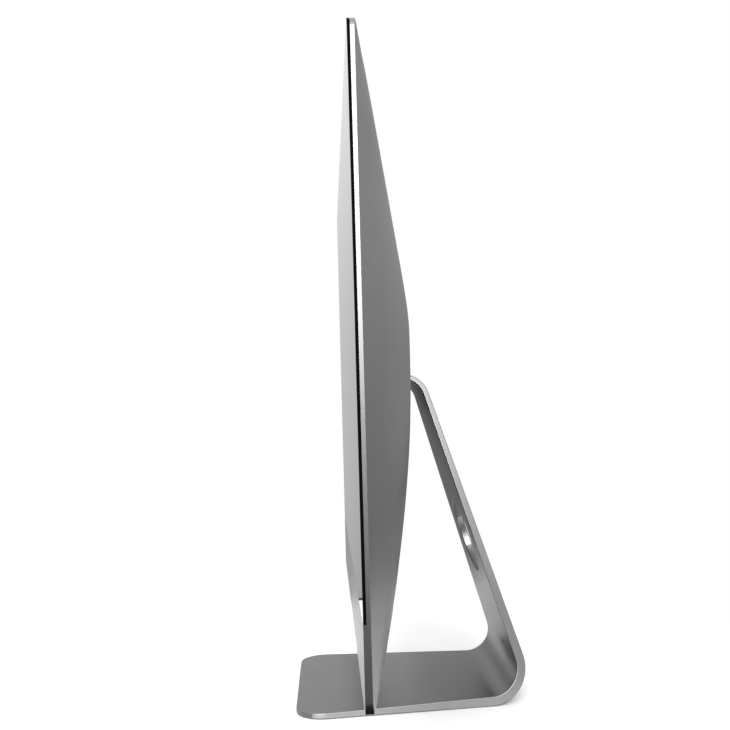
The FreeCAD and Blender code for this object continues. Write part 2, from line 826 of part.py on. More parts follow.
def speaker_slots():
    slots = []
    for side in SIDES:
        for i in range(SLOTS_EACH_SIDE):
            near = "%s + %d * slot_pitch" % (SPEAKER_SLOT_START, i)
            slots.append(box("slot_long", "slot_wide", "floor_wall + 2",
                             from_side(side, near, "slot_long"),
                             behind("chin_wall + 0.3"), above("-1")))
    return slots


def door_block(grow):
    """The memory door's outline as a straight cutter, grown by a margin."""
    return slab("2 * (door_half + %s)" % grow, "door_tall + 2 * (%s)" % grow, "door_corner + %s" % grow,
                ALL_DEPTH, "0", behind("cage_front"), above("door_low + door_tall / 2"))


def make_housing():
    block = slab("display_width", "display_height", "corner_radius", ALL_DEPTH, "0", behind("0"),
                 above("display_height / 2"))
    outer = common(OUTER_SKIN, block)
    inner_wide = "display_width - 2 * rim"
    low = box(inner_wide, ALL_DEPTH, "chin_height - floor_wall - ledge_width / 2",
              "-(%s) / 2" % inner_wide,
              behind("chin_wall"), above("floor_wall"))
    ledge_rear = "glass_thick + glue_thick + ledge_depth"
    high_low = "chin_height - ledge_width / 2"
    high = box(inner_wide, ALL_DEPTH, "display_height - rim - (%s)" % high_low, "-(%s) / 2" % inner_wide,
               behind(ledge_rear), above(high_low))
    hollow = common(INNER_SKIN, fuse(low, high))
    window_low = "chin_height + ledge_width"
    window = box(inner_wide, "edge_depth", "display_height - rim - (%s)" % window_low,
                 "-(%s) / 2" % inner_wide, behind("-1"), above(window_low))
    recess = box("display_width + 2", "glass_thick + glue_thick + 1", GLASS_TALL + " + glass_gap + 1",
                 "-display_width / 2 - 1", behind("-1"), above("chin_height - glass_gap"))
    shell = cut(outer, fuse(hollow, window, recess))

    posts = [boss_post(x, height, "board_front + board_thick") for x, height in board_bosses()]
    posts += [boss_post(x, height, "supply_front + board_thick") for x, height in supply_bosses()]
    posts += bracket_pads()
    seat = common(cut(door_block("seat_width"), door_block("-seat_width")),
                  cut(INNER_SKIN, space_under_skin(size("skin") + size("seat_thick"))))
    walled = fuse(shell, common(fuse(*posts), HALF_SKIN), seat)

    cuts = [cut(door_block("0"), INNER_SKIN), slab("2 * vent_half", "vent_tall", "3", ALL_DEPTH, "0",
                                                   behind("fin_front"),
                                  above("vent_low + vent_tall / 2"))]
    cuts.append(box("2 * slot_half", ALL_DEPTH, "slot_below + slot_above", "-slot_half", HINGE_Y,
                    HINGE_Z + " - slot_below"))
    cuts.append(slab("inlet_wide + 2 * port_play", "inlet_tall + 2 * port_play", "4", ALL_DEPTH, "0",
                     behind("inlet_front"), above("inlet_height")))
    cuts.append(slab("release_wide", "release_tall", "1.9", ALL_DEPTH, "0", behind("inlet_front"),
                     above("release_height")))
    for name, x, wide, tall in port_list():
        cuts.append(through("%s + 2 * port_play" % wide, "%s + 2 * port_play" % tall, x, "port_height"))
    cuts.append(rod("jack_body_radius + port_play", ALL_DEPTH, "Y", JACK_X, behind("board_front"),
                    above("port_height")))
    cuts.append(rod("button_radius", ALL_DEPTH, "Y", BUTTON_X, behind("board_front"),
                    above("button_height")))
    cuts += speaker_slots()
    cuts += [boss_bore(x, height, "board_front + board_thick") for x, height in board_bosses()]
    cuts += [boss_bore(x, height, "supply_front + board_thick") for x, height in supply_bosses()]
    keep(cut(walled, fuse(*cuts)), "rear_housing")


# ---------------------------------------------------------------------------
# Screen
# ---------------------------------------------------------------------------
def make_screen():
    glass_middle = above("chin_height + (%s) / 2" % GLASS_TALL)
    glass = common(slab("display_width", GLASS_TALL, "1", "glass_thick", "0", behind("0"), glass_middle),
                   slab("display_width", "display_height", "corner_radius", "glass_thick", "0",
                        behind("0"),
                        above("display_height / 2")))
    keep(glass, "cover_glass")
    glue_wide, glue_tall = "display_width - 3", GLASS_TALL + " - 3"
    strip = slab(glue_wide, glue_tall, "corner_radius", "glue_thick", "0", behind("glass_thick"),
                 glass_middle)
    open_part = slab("%s - 2 * glue_width" % glue_wide, "%s - 2 * glue_width" % glue_tall,
                     "corner_radius - 5", "glue_thick", "0", behind("glass_thick"), glass_middle)
    keep(cut(strip, open_part), "display_adhesive")
    middle = above("panel_low + panel_tall / 2")
    keep(slab("panel_width", "panel_tall", "1", "panel_thick", "0", behind("glass_thick"), middle),
         "lcd_panel")
    tray = slab("panel_width + 2 * tray_lip", "panel_tall + 2 * tray_lip", "2", "tray_thick", "0",
                behind("glass_thick + panel_thick"), middle)
    ribs = []
    for i in range(5):
        ribs.append(box("panel_width - 60", "1", "12", "-(panel_width - 60) / 2",
                        behind("glass_thick + panel_thick + tray_thick - 1"),
                        above("panel_low + 30 + %d * 68" % i)))
    keep(cut(tray, fuse(*ribs)), "backlight_tray")


def make_camera_row():
    top = above("display_height - 18.5")
    lens = rod("2.6", "1.2", "Y", "0", behind("glass_thick + 0.1"), above("display_height - 13.5"))
    board = box("26", "3.2", "8", "-13", behind("glass_thick + 1.3"), top)
    keep(fuse(board, lens), "camera_module")
    mics = [box("5", "1.5", "4", "%d * 27 - 2.5" % side, behind("glass_thick + 0.1"),
                above("display_height - 15.5")) for side in SIDES]
    keep(group(*mics), "microphones")
    keep(box("4", "1.2", "4", "-20.5", behind("glass_thick + 0.1"), above("display_height - 15.5")),
         "light_sensor")
    strips = [box("40", "1", "6", "%s - 20" % x, behind("glass_thick + glue_thick + 2"),
                  above("display_height - 17")) for x in ("-150", "-80", "80", "150")]
    keep(group(*strips), "antennas")


# ---------------------------------------------------------------------------
# Cooling
# ---------------------------------------------------------------------------
def make_vent():
    wide, tall = "2 * vent_half - 2 * port_play", "vent_tall - 2 * port_play"
    block = slab(wide, tall, "2.5", ALL_DEPTH, "0", behind("fin_front"),
                 above("vent_low + vent_tall / 2"))
    skin = common(block, between_skins(0.3, size("skin") + 0.2))
    bars = []
    count = int((2 * size("vent_half") - 8) // size("vent_pitch"))
    for i in range(count):
        x = "-vent_half + 5 + %d * vent_pitch" % i
        bars.append(box("vent_pitch - vent_bar", ALL_DEPTH, "vent_tall - 5", x, behind("fin_front"),
                        above("vent_low + 2.5")))
    keep(cut(skin, fuse(*bars)), "vent_grille")


def make_fins():
    wide = "2 * vent_half - 8"
    low, tall = "vent_low + 1", "vent_tall - 2"
    base = box(wide, "1", tall, "-(%s) / 2" % wide, behind("fin_front"), above(low))
    fins = []
    count = int((2 * size("vent_half") - 9) // size("fin_pitch"))
    for i in range(count + 1):
        fins.append(box("fin_thick", "fin_rear - fin_front", tall, "-vent_half + 4 + %d * fin_pitch" % i,
                        behind("fin_front"), above(low)))
    keep(fuse(base, *fins), "fin_stack")


def make_heat_pipes():
    """Two bent pipes from the processor's plate to the fins, in one plane."""
    pipes = []
    for i in range(2):
        step = 8.0 * i
        corner_x = size("drive_wide") / 2 + 15 + step
        low = size("vent_low") + 5 + step
        high = size("drive_low") + 12 + step
        route = [Vector(150, 0, high), Vector(corner_x, 0, high), Vector(corner_x, 0, low),
                 Vector(-46, 0, low)]
        path = bent_path(route, size("pipe_bend"))
        y = number(behind("pipe_depth"))
        path.translate(Vector(0, y, size("display_base")))
        start = route[0] + Vector(0, y, size("display_base"))
        section = Part.Wire([Part.makeCircle(size("pipe_radius"), start, Vector(1, 0, 0))])
        item = doc.addObject("Part::Feature", "Pipe")
        item.Shape = path.makePipeShell([section], True, False)
        pipes.append(item)
    keep(group(*pipes), "heat_pipes")


def bent_path(points, radius):
    """Straight runs joined by arcs of one radius."""
    edges = []
    last = points[0]
    for before, corner, after in zip(points, points[1:], points[2:]):
        inward = (before - corner).normalize()
        outward = (after - corner).normalize()
        half = inward.getAngle(outward) / 2
        trim = radius / math.tan(half)
        start, stop = corner + inward * trim, corner + outward * trim
        bisector = (inward + outward).normalize()
        middle = corner + bisector * (radius / math.sin(half) - radius)
        edges.append(Part.makeLine(last, start))
        edges.append(Part.Arc(start, middle, stop).toShape())
        last = stop
    edges.append(Part.makeLine(last, points[-1]))
    return Part.Wire(edges)


def make_cold_plate():
    front = "board_front + board_thick + 2.6"
    rear = "pipe_depth - pipe_radius"
    keep(box("64", "%s - (%s)" % (rear, front), "44", "118", behind(front), above("drive_low - 4")),
         "cold_plate")


def make_fan():
    z = above("fan_height")
    outer = rod("fan_radius", "fan_thick", "Y", "fan_x", behind("fan_front"), z)
    duct_long = "-fan_x - vent_half - 2"
    duct = box(duct_long, "fan_thick", "20", "fan_x", behind("fan_front"),
               above("fan_height + fan_radius - 20"))
    hollow = rod("fan_radius - fan_wall", "fan_thick - 2 * fan_wall", "Y", "fan_x",
                 behind("fan_front + fan_wall"), z)
    duct_hollow = box("%s + 2" % duct_long, "fan_thick - 2 * fan_wall", "20 - 2 * fan_wall", "fan_x",
                      behind("fan_front + fan_wall"), above("fan_height + fan_radius - 20 + fan_wall"))
    mouth = rod("hub_radius + 10", "2 * fan_wall", "Y", "fan_x",
                behind("fan_front + fan_thick - 1.5 * fan_wall"), z)
    post = rod("2", "fan_thick - 3 * fan_wall", "Y", "fan_x", behind("fan_front + fan_wall / 2"), z)
    keep(fuse(cut(fuse(outer, duct), fuse(hollow, duct_hollow, mouth)), post), "fan_housing")


def make_rotor():
    body = new_body()
    hub = sketch_on(body, "XZ_Plane")
    disc(hub, "hub_radius")
    disc(hub, "2 + side_play")
    deep = "fan_thick - 2 * fan_wall - 2 * rotor_gap"
    pad(body, hub, deep, reverse=True)
    blade = sketch_on(body, "XZ_Plane")
    tip = "rotor_radius * %f" % math.cos(math.radians(16))
    lift = "rotor_radius * %f" % math.sin(math.radians(16))
    polygon(blade, [("hub_radius - 1", "0"), (tip, lift), (tip, lift + " + blade_thick"),
                    ("hub_radius - 1", "blade_thick")])
    fin = pad(body, blade, deep + " - 1", reverse=True)
    doc.recompute()
    pattern = body.newObject("PartDesign::PolarPattern", "Blades")
    pattern.Originals = [fin]
    pattern.Axis = (hub, ["N_Axis"])
    pattern.Angle = 360
    pattern.Occurrences = int(size("blade_count"))
    body.Tip = pattern
    place(body, "fan_x", behind("fan_front + fan_wall + rotor_gap"), above("fan_height"))
    keep(body, "fan_rotor")


# ---------------------------------------------------------------------------
# Boards and what is on them
# ---------------------------------------------------------------------------
BOARD_REAR = "board_front + board_thick"


def make_logic_board():
    right = "display_width / 2 - board_side_gap"
    board = plate([("-board_left", "board_low"), (right, "board_low"), (right, "board_top"),
                   ("board_right_start", "board_top"), ("board_right_start", "board_step"),
                   ("-board_left", "board_step")], "board_thick", behind("board_front"))
    holes = [rod("screw_radius", "3 * board_thick", "Y", x, behind("board_front - board_thick"),
                 above(height))
             for x, height in board_bosses()]
    reach = "jack_body_radius + port_play"
    holes.append(box("port_side_gap", "3 * board_thick", "2 * (%s)" % reach,
                     "%s - (%s)" % (JACK_X, reach),
                     behind("board_front - board_thick"), above("port_height - (%s)" % reach)))
    keep(cut(board, fuse(*holes)), "logic_board")
    screws = []
    spots = [(x, height, "board_front") for x, height in board_bosses()]
    spots += [(x, height, "supply_front") for x, height in supply_bosses()]
    for x, height, front in spots:
        head_y = behind("%s - screw_head_thick" % front)
        head = rod("screw_head", "screw_head_thick", "Y", x, head_y, above(height))
        shank = rod("screw_radius - screw_play", "screw_head_thick + board_thick + 4", "Y", x, head_y,
                    above(height))
        screws.append(fuse(head, shank))
    keep(group(*screws), "board_screws")


CHIPS = (
    # x, height above the lower edge, width, height, thickness
    (150, 261, 37, 37, 2.6),
    (205, 200, 34, 34, 2.4),
    (120, 205, 22, 22, 1.6),
    (205, 255, 14, 10, 1.2),
    (205, 275, 14, 10, 1.2),
    (230, 255, 14, 10, 1.2),
    (230, 275, 14, 10, 1.2),
    (150, 160, 16, 16, 1.4),
    (190, 150, 10, 18, 1.2),
    (-55, 60, 18, 14, 1.6),
    (60, 90, 12, 12, 1.2),
    (110, 100, 8, 26, 3.0),
    (122, 100, 8, 26, 3.0),
    (134, 100, 8, 26, 3.0),
)


def make_board_parts():
    chips = [box(str(w), str(t), str(h), "%d - %d / 2" % (x, w), behind(BOARD_REAR),
                 above("%d - %d / 2" % (z, h)))
             for x, z, w, h, t in CHIPS]
    keep(group(*chips), "board_chips")
    keep(rod("10", "3.2", "Y", "-60", behind(BOARD_REAR), above("98")), "coin_cell")
    keep(box("30", "1", "22", "215", behind(BOARD_REAR + " + 2"), above("300")), "wireless_card")


def make_memory():
    wide, low, tall = "2 * module_wide + 10", "door_low + 3", "module_tall + 4"
    deep = "cage_rear - cage_front"
    block = box(wide, deep, tall, "-(%s) / 2" % wide, behind("cage_front"), above(low))
    bays, modules = [], []
    for side in SIDES:
        near = from_side(side, "1.5", "module_wide + 1")
        bays.append(box("module_wide + 1", deep, "module_tall + 1", near, behind("cage_front + 1.5"),
                        above(low + " + 1.5")))
        for row in range(2):
            depth = "cage_front + 3 + %d * (module_thick + 2.4)" % row
            modules.append(box("module_wide", "module_thick", "module_tall",
                               from_side(side, "2", "module_wide"), behind(depth), above(low + " + 1.5")))
    legs = [box("6", "cage_front - (%s)" % BOARD_REAR, "6", from_side(side, "58", "6"),
                behind(BOARD_REAR), above(low))
            for side in SIDES]
    keep(fuse(cut(block, fuse(*bays)), *legs), "memory_cage")
    keep(group(*modules), "memory_modules")


def make_memory_door():
    outline = door_block("-door_gap")
    skin = between_skins(0, size("door_thick"))
    keep(common(outline, skin), "memory_door")


# ---------------------------------------------------------------------------
# Sockets, inlet and buttons on the back
# ---------------------------------------------------------------------------
def socket(wide, tall, x):
    """A metal can that is open to the back, with a tongue inside."""
    start = BOARD_REAR
    can = box(wide, ALL_DEPTH, tall, "%s - (%s) / 2" % (x, wide), behind(start),
              above("port_height - (%s) / 2" % tall))
    wall = "0.6"
    room = box("%s - 2 * %s" % (wide, wall), ALL_DEPTH, "%s - 2 * %s" % (tall, wall),
               "%s - (%s) / 2 + %s" % (x, wide, wall), behind(start + " + 2"),
               above("port_height - (%s) / 2 + %s" % (tall, wall)))
    return can, room


def make_sockets():
    kinds = {}
    shallow = space_under_skin(3.0)
    for name, x, wide, tall in port_list():
        can, room = socket(wide, tall, x)
        shell = common(cut(can, room), SET_IN_SKIN)
        if name == "network_socket":
            kinds[name] = [shell]
            continue
        tongue_tall = "1.6" if name != "card_slot" else "0.8"
        tongue = box("%s - 5" % wide, ALL_DEPTH, tongue_tall, "%s - (%s) / 2 + 2.5" % (x, wide),
                     behind(BOARD_REAR + " + 1"), above("port_height - %s / 2" % tongue_tall))
        kinds.setdefault(name, []).append(fuse(shell, common(tongue, shallow)))
    for name, items in kinds.items():
        keep(group(*items) if len(items) > 1 else items[0], name)
    barrel = rod("jack_body_radius", ALL_DEPTH, "Y", JACK_X, behind("jack_front"), above("port_height"))
    bore = rod("jack_radius", ALL_DEPTH, "Y", JACK_X, behind("jack_front + 1.5"), above("port_height"))
    keep(cut(common(barrel, SET_IN_SKIN), bore), "audio_socket")


def make_inlet():
    middle = above("inlet_height")
    block = slab("inlet_wide", "inlet_tall", "3.8", ALL_DEPTH, "0", behind("inlet_front"), middle)
    room = slab("inlet_wide - 2 * inlet_wall", "inlet_tall - 2 * inlet_wall", "3", ALL_DEPTH, "0",
                behind("inlet_front + 3"), middle)
    keep(common(cut(block, room), SET_IN_SKIN), "power_inlet")
    pins = []
    for x, z in (("-7", "-2"), ("0", "2"), ("7", "-2")):
        pins.append(box("2", "inlet_recess - 2", "4", x + " - 1", behind("inlet_front + 3"),
                        above("inlet_height + %s - 2" % z)))
    keep(group(*pins), "inlet_pins")
    stem = slab("release_wide - 2 * button_gap", "release_tall - 2 * button_gap", "1.7", ALL_DEPTH, "0",
                behind("inlet_front"), above("release_height"))
    flange = box("release_wide + 4", ALL_DEPTH, "release_tall + 3", "-release_wide / 2 - 2",
                 behind("inlet_front"),
                 above("release_height - release_tall / 2 - 1.5"))
    keep(fuse(common(stem, between_skins(0.5, 3.6)), common(flange, between_skins(2.4, 3.6))),
         "door_release")
    keep(coil("2.2", "3.5", "0", "release_height", 3.95), "release_spring")


def coil(radius, length, x, height, inset):
    """A small compression spring behind a button, standing on the piece in front of it."""
    turns = 4
    pitch = number(length) / turns
    y = -size("front_offset") + depth_at(number(x), number(height)) - inset - number(length)
    start = Vector(number(x), y, number(above(height)))
    helix = Part.makeHelix(pitch, number(length), number(radius))
    wire_radius = 0.3
    section = Part.Wire([Part.makeCircle(wire_radius, Vector(number(radius), 0, 0), Vector(0, 1, 0))])
    item = doc.addObject("Part::Feature", "Spring")
    item.Shape = Part.Wire(helix).makePipeShell([section], True, True)
    item.Placement = Placement(start, AXES["Y"])
    return item


def make_power_button():
    middle = above("button_height")
    cap = rod("button_radius - button_gap", ALL_DEPTH, "Y", BUTTON_X, behind("board_front"), middle)
    flange = rod("button_radius + 1.6", ALL_DEPTH, "Y", BUTTON_X, behind("board_front"), middle)
    keep(fuse(common(cap, between_skins(0.2, 3.2)), common(flange, between_skins(2.2, 3.2))),
         "power_button")
    rear = depth_at(number(BUTTON_X), number("button_height")) - 5.4
    keep(box("10", "%.3f" % (rear - 6), "8", BUTTON_X + " - 5", behind("6"),
             above("button_height - 4")), "power_switch")


# ---------------------------------------------------------------------------
# Storage, supply, sound and the wires inside
# ---------------------------------------------------------------------------
def make_drive():
    keep(box("drive_wide", "drive_thick", "drive_tall", "-drive_wide / 2", behind("drive_front"),
             above("drive_low")),
         "storage_drive")
    strips = [box("2.4", "drive_thick - 4", "drive_tall - 24", from_side(side, "drive_wide / 2", "2.4"),
                  behind("drive_front"), above("drive_low + 12")) for side in SIDES]
    keep(group(*strips), "drive_brackets")


def make_supply():
    left, right = supply_left(), SUPPLY_RIGHT
    board = plate([(left, "supply_low"), (right, "supply_low"), (right, "supply_low + supply_tall"),
                   (left, "supply_low + supply_tall")], "board_thick", behind("supply_front"))
    holes = [rod("screw_radius", "3 * board_thick", "Y", x, behind("supply_front - board_thick"),
                 above(height))
             for x, height in supply_bosses()]
    parts = []
    for i, (wide, tall, deep) in enumerate(((26, 30, 8), (16, 40, 8), (30, 22, 7), (12, 12, 8.5))):
        parts.append(box(str(wide), str(deep), str(tall), "%s + %d" % (left, 18 + 34 * i),
                         behind("supply_front + board_thick"), above("supply_low + 40")))
    keep(fuse(cut(board, fuse(*holes)), *parts), "power_supply")
    wide = "(%s) - (%s) - 2 * supply_lip" % (right, left)
    front = "supply_front + board_thick"
    cover = box(wide, "supply_deep - board_thick", "supply_tall - 2 * supply_lip", left + " + supply_lip",
                behind(front), above("supply_low + supply_lip"))
    room = box("%s - 1.6" % wide, "supply_deep - board_thick - 0.8", "supply_tall - 2 * supply_lip - 1.6",
               left + " + supply_lip + 0.8", behind(front), above("supply_low + supply_lip + 0.8"))
    keep(cut(cover, room), "power_supply_cover")


def make_sound():
    for side, name in zip(SIDES, ("speaker_left", "speaker_right")):
        near = "display_width / 2 - speaker_side_gap - speaker_long"
        x = from_side(side, near, "speaker_long")
        block = box("speaker_long", "speaker_thick", "speaker_tall", x, behind("speaker_front"),
                    above("speaker_low"))
        cone = slab("60", "16", "7", "1", from_side(side, near + " + 80", "0"),
                    behind("speaker_front - 0.4"),
                    above("speaker_low + speaker_tall / 2"))
        keep(cut(block, cone), name)
    strips = []
    for side in SIDES:
        long = "%d * slot_pitch" % SLOTS_EACH_SIDE
        strips.append(box(long, "2.6", "0.4", from_side(side, SPEAKER_SLOT_START + " - 2", long),
                          behind("chin_wall + 0.05"),
                          above("floor_wall")))
    keep(group(*strips), "speaker_mesh")


def make_wires():
    rear_tray = "glass_thick + panel_thick + tray_thick"
    keep(box("24", "board_front - (%s)" % rear_tray, "10", "20", behind(rear_tray),
             above("board_step - 40")),
         "display_cable")
    left = size("inlet_wide") / 2
    turn_x = number("fan_x") - size("fan_radius") - 14
    z0, z1 = size("inlet_height"), size("supply_low")
    route = [Vector(-left, 0, z0), Vector(turn_x, 0, z0), Vector(turn_x, 0, z1)]
    path = bent_path(route, 20)
    shift = Vector(0, number(behind("inlet_front + 3.4")), size("display_base"))
    path.translate(shift)
    section = Part.Wire([Part.makeCircle(2.2, route[0] + shift, Vector(1, 0, 0))])
    item = doc.addObject("Part::Feature", "Lead")
    item.Shape = path.makePipeShell([section], True, False)
    keep(item, "supply_cable")


# ---------------------------------------------------------------------------
# Everything together
# ---------------------------------------------------------------------------
make_stand()
make_foot_pad()
make_hinge_barrel()
make_hinge_pins()
make_hinge_washers()
make_hinge_brackets()
make_hinge_shroud()
make_housing()
make_screen()
make_camera_row()
make_vent()
make_fins()
make_heat_pipes()
make_cold_plate()
make_fan()
make_rotor()
make_logic_board()
make_board_parts()
make_memory()
make_memory_door()
make_sockets()
make_inlet()
make_power_button()
make_drive()
make_supply()
make_sound()
make_wires()

doc.recompute()
problems = []
for item in doc.Objects:
    if "Invalid" in item.State or "Error" in item.State:
        problems.append("%s (%s): %s" % (item.Name, item.Label, item.getStatusString()))
for item in nodes:
    if item.Shape.isNull() or not item.Shape.isValid() or not item.Shape.Solids:
        problems.append("%s has no valid solid" % item.Label)
if problems:
    raise RuntimeError("; ".join(problems))

os.makedirs("parts", exist_ok=True)
for item in nodes:
    item.Shape.exportStep("parts/%s.step" % item.Label)
print("%d pieces written" % len(nodes))
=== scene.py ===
"""Finishes and fine detail for an all-in-one desktop computer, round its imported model.

Metres, +Z up, +X to the right of somebody who faces the screen, and the screen faces -Y.
"""

import json
import math
from contextlib import contextmanager

import bmesh
import bpy
from bpy.props import FloatProperty, FloatVectorProperty, IntProperty, PointerProperty
from mathutils import Matrix, Vector


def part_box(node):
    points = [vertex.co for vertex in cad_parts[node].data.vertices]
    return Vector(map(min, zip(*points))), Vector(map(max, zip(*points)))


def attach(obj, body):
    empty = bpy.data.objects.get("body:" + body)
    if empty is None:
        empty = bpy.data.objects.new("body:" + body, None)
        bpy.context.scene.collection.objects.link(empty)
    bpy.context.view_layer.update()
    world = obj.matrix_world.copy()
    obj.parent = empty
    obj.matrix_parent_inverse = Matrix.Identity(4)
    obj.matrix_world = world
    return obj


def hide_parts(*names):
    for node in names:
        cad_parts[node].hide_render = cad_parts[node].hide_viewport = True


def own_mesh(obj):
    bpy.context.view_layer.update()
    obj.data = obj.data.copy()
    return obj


bl_info = {
    "name": "All-in-one computer finishes",
    "version": (1, 0, 0),
    "blender": (4, 5, 0),
    "location": "View3D > Sidebar > Computer",
    "description": "Dresses the computer's packed pieces and adds its fine detail",
    "category": "Object",
}

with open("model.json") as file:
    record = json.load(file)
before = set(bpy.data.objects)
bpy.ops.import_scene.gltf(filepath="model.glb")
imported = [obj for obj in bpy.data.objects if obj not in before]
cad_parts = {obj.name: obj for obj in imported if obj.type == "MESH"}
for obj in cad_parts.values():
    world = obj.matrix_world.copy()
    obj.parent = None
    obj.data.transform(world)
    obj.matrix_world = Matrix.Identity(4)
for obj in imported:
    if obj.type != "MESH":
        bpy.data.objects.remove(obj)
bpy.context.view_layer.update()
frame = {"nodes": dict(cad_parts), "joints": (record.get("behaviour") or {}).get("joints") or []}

MM = 0.001
DISPLAY = "display"


# ---------------------------------------------------------------------------
# Sizes and colours a user would change
# ---------------------------------------------------------------------------
def colour(name, text, value):
    return FloatVectorProperty(name=name, description=text, default=value, subtype="COLOR", size=3,
                               min=0, max=1)


def length(name, text, value_mm):
    return FloatProperty(name=name, description=text, default=value_mm * MM, min=0, precision=5,
                         subtype="DISTANCE", unit="LENGTH")


def power(name, text, watts):
    return FloatProperty(name=name, description=text, default=watts, min=0, subtype="POWER", unit="POWER")


class MetalSettings(bpy.types.PropertyGroup):
    tone: colour("Metal colour", "Colour of the anodised housing and stand", (0.278, 0.271, 0.282))
    roughness: FloatProperty(name="Roughness", description="How matt the blasted metal is", default=0.37,
                             min=0, max=1)
    grain: length("Grain", "Size of the blasted grain", 0.22)
    relief: length("Relief", "Depth of the blasted grain", 0.004)


class ScreenSettings(bpy.types.PropertyGroup):
    border: colour("Border colour", "Printed border behind the glass", (0.0035, 0.0035, 0.0040))
    panel: colour("Panel colour", "Unlit panel behind the glass", (0.010, 0.0105, 0.0125))
    gloss: FloatProperty(name="Glass roughness", description="Roughness of the polished glass", default=0.035,
                         min=0, max=1)


class DetailSettings(bpy.types.PropertyGroup):
    rim_width: length("Rim width", "Width of the bright edge round a socket's opening", 0.30)
    rim_height: length("Rim height", "How far that edge stands on the housing", 0.06)
    lens_radius: length("Lens radius", "Radius of the camera's dark lens", 1.9)
    lamp_radius: length("Lamp radius", "Radius of the camera's lamp", 0.55)
    contacts: IntProperty(name="Contacts", description="Springs in the network socket", default=8,
                          min=1, max=12)


class StageSettings(bpy.types.PropertyGroup):
    backdrop: colour("Backdrop", "Colour behind the object", (1.0, 1.0, 1.0))
    ceiling: FloatProperty(name="Ceiling", description="Brightness of the room overhead", default=1.4, min=0)
    horizon: FloatProperty(name="Horizon", description="Brightness of the room at eye level", default=0.20,
                           min=0)
    key_power: power("Key light", "Power of the large soft light", 52.0)
    card_power: power("Front card", "Power of the pale card in front", 1.5)
    rear_power: power("Rear card", "Power of the pale card behind", 1.1)
    back_power: power("Back light", "Power of the soft light behind the stand", 14.0)
    lens: FloatProperty(name="Lens", description="Focal length of the camera", default=47.05, min=1,
                        subtype="DISTANCE_CAMERA")


# ---------------------------------------------------------------------------
# Shader maths
# ---------------------------------------------------------------------------
class Signal:
    """One shader output that can be used in ordinary sums."""

    def __init__(self, tree, socket):
        self.tree = tree
        self.socket = socket

    def maths(self, operation, *values):
        names = {"value%d" % i: value for i, value in enumerate(values)}
        return make_node(self.tree, "ShaderNodeMath", {"operation": operation}, names)

    def __add__(self, other):
        return self.maths("ADD", self, other)

    __radd__ = __add__

    def __sub__(self, other):
        return self.maths("SUBTRACT", self, other)

    def __rsub__(self, other):
        return self.maths("SUBTRACT", other, self)

    def __mul__(self, other):
        return self.maths("MULTIPLY", self, other)

    __rmul__ = __mul__

    def absolute(self):
        return self.maths("ABSOLUTE", self)

    def below(self, level):
        return self.maths("LESS_THAN", self, level)

    def ramp(self, low, high, first=0.0, last=1.0):
        settings = {"interpolation_type": "SMOOTHSTEP"}
        return make_node(self.tree, "ShaderNodeMapRange", settings,
                         {"Value": self, "From Min": low, "From Max": high, "To Min": first, "To Max": last})


def make_node(tree, kind, settings, inputs, output=0):
    """A node with its settings made first, and then its inputs, by name or as value0, value1 and so on."""
    node = tree.nodes.new(kind)
    for name, value in settings.items():
        setattr(node, name, value)
    for name, value in inputs.items():
        by_place = name.startswith("value")
        target = node.inputs[int(name[5:])] if by_place else node.inputs[name.replace("_", " ")]
        if isinstance(value, Signal):
            tree.links.new(value.socket, target)
        else:
            target.default_value = value
    return Signal(tree, node.outputs[output])


class Finish:
    """A material with one Principled shader, whose patterns read Object coordinates."""

    def __init__(self, name, roughness=0.5, metallic=0.0, **fixed):
        self.material = bpy.data.materials.new(name)
        self.material.use_nodes = True
        self.tree = self.material.node_tree
        self.shader = self.tree.nodes["Principled BSDF"]
        self.set(Roughness=roughness, Metallic=metallic, **fixed)
        self.place = make_node(self.tree, "ShaderNodeTexCoord", {}, {}, output=3)

    def set(self, **inputs):
        for name, value in inputs.items():
            target = self.shader.inputs[name.replace("_", " ")]
            if isinstance(value, Signal):
                self.tree.links.new(value.socket, target)
            else:
                target.default_value = value
        return self

    def node(self, kind, settings=None, output=0, **inputs):
        return make_node(self.tree, kind, settings or {}, inputs, output)

    def axes(self):
        split = self.tree.nodes.new("ShaderNodeSeparateXYZ")
        self.tree.links.new(self.place.socket, split.inputs[0])
        return [Signal(self.tree, out) for out in split.outputs]

    def stretched(self, scale):
        return self.node("ShaderNodeMapping", Vector=self.place, Scale=scale)

    def noise(self, size, detail=2.0, stretch=(1, 1, 1)):
        where = self.place if stretch == (1, 1, 1) else self.stretched(stretch)
        return self.node("ShaderNodeTexNoise", Vector=where, Scale=1 / size, Detail=detail)

    def mix(self, factor, first, second):
        """Blends two colours."""
        node = self.tree.nodes.new("ShaderNodeMix")
        node.data_type = "RGBA"
        for target, value in ((node.inputs[0], factor), (node.inputs[6], first), (node.inputs[7], second)):
            if isinstance(value, Signal):
                self.tree.links.new(value.socket, target)
            elif isinstance(value, (int, float)):
                target.default_value = value
            else:
                target.default_value = (*value, 1.0)
        return Signal(self.tree, node.outputs[2])

    def bump(self, height, depth, strength=1.0):
        normal = self.node("ShaderNodeBump", Height=height, Distance=depth, Strength=strength)
        return self.set(Normal=normal)


def shade(tone, by):
    """A colour made lighter or darker."""
    return tuple(min(1.0, value * by) for value in tone)


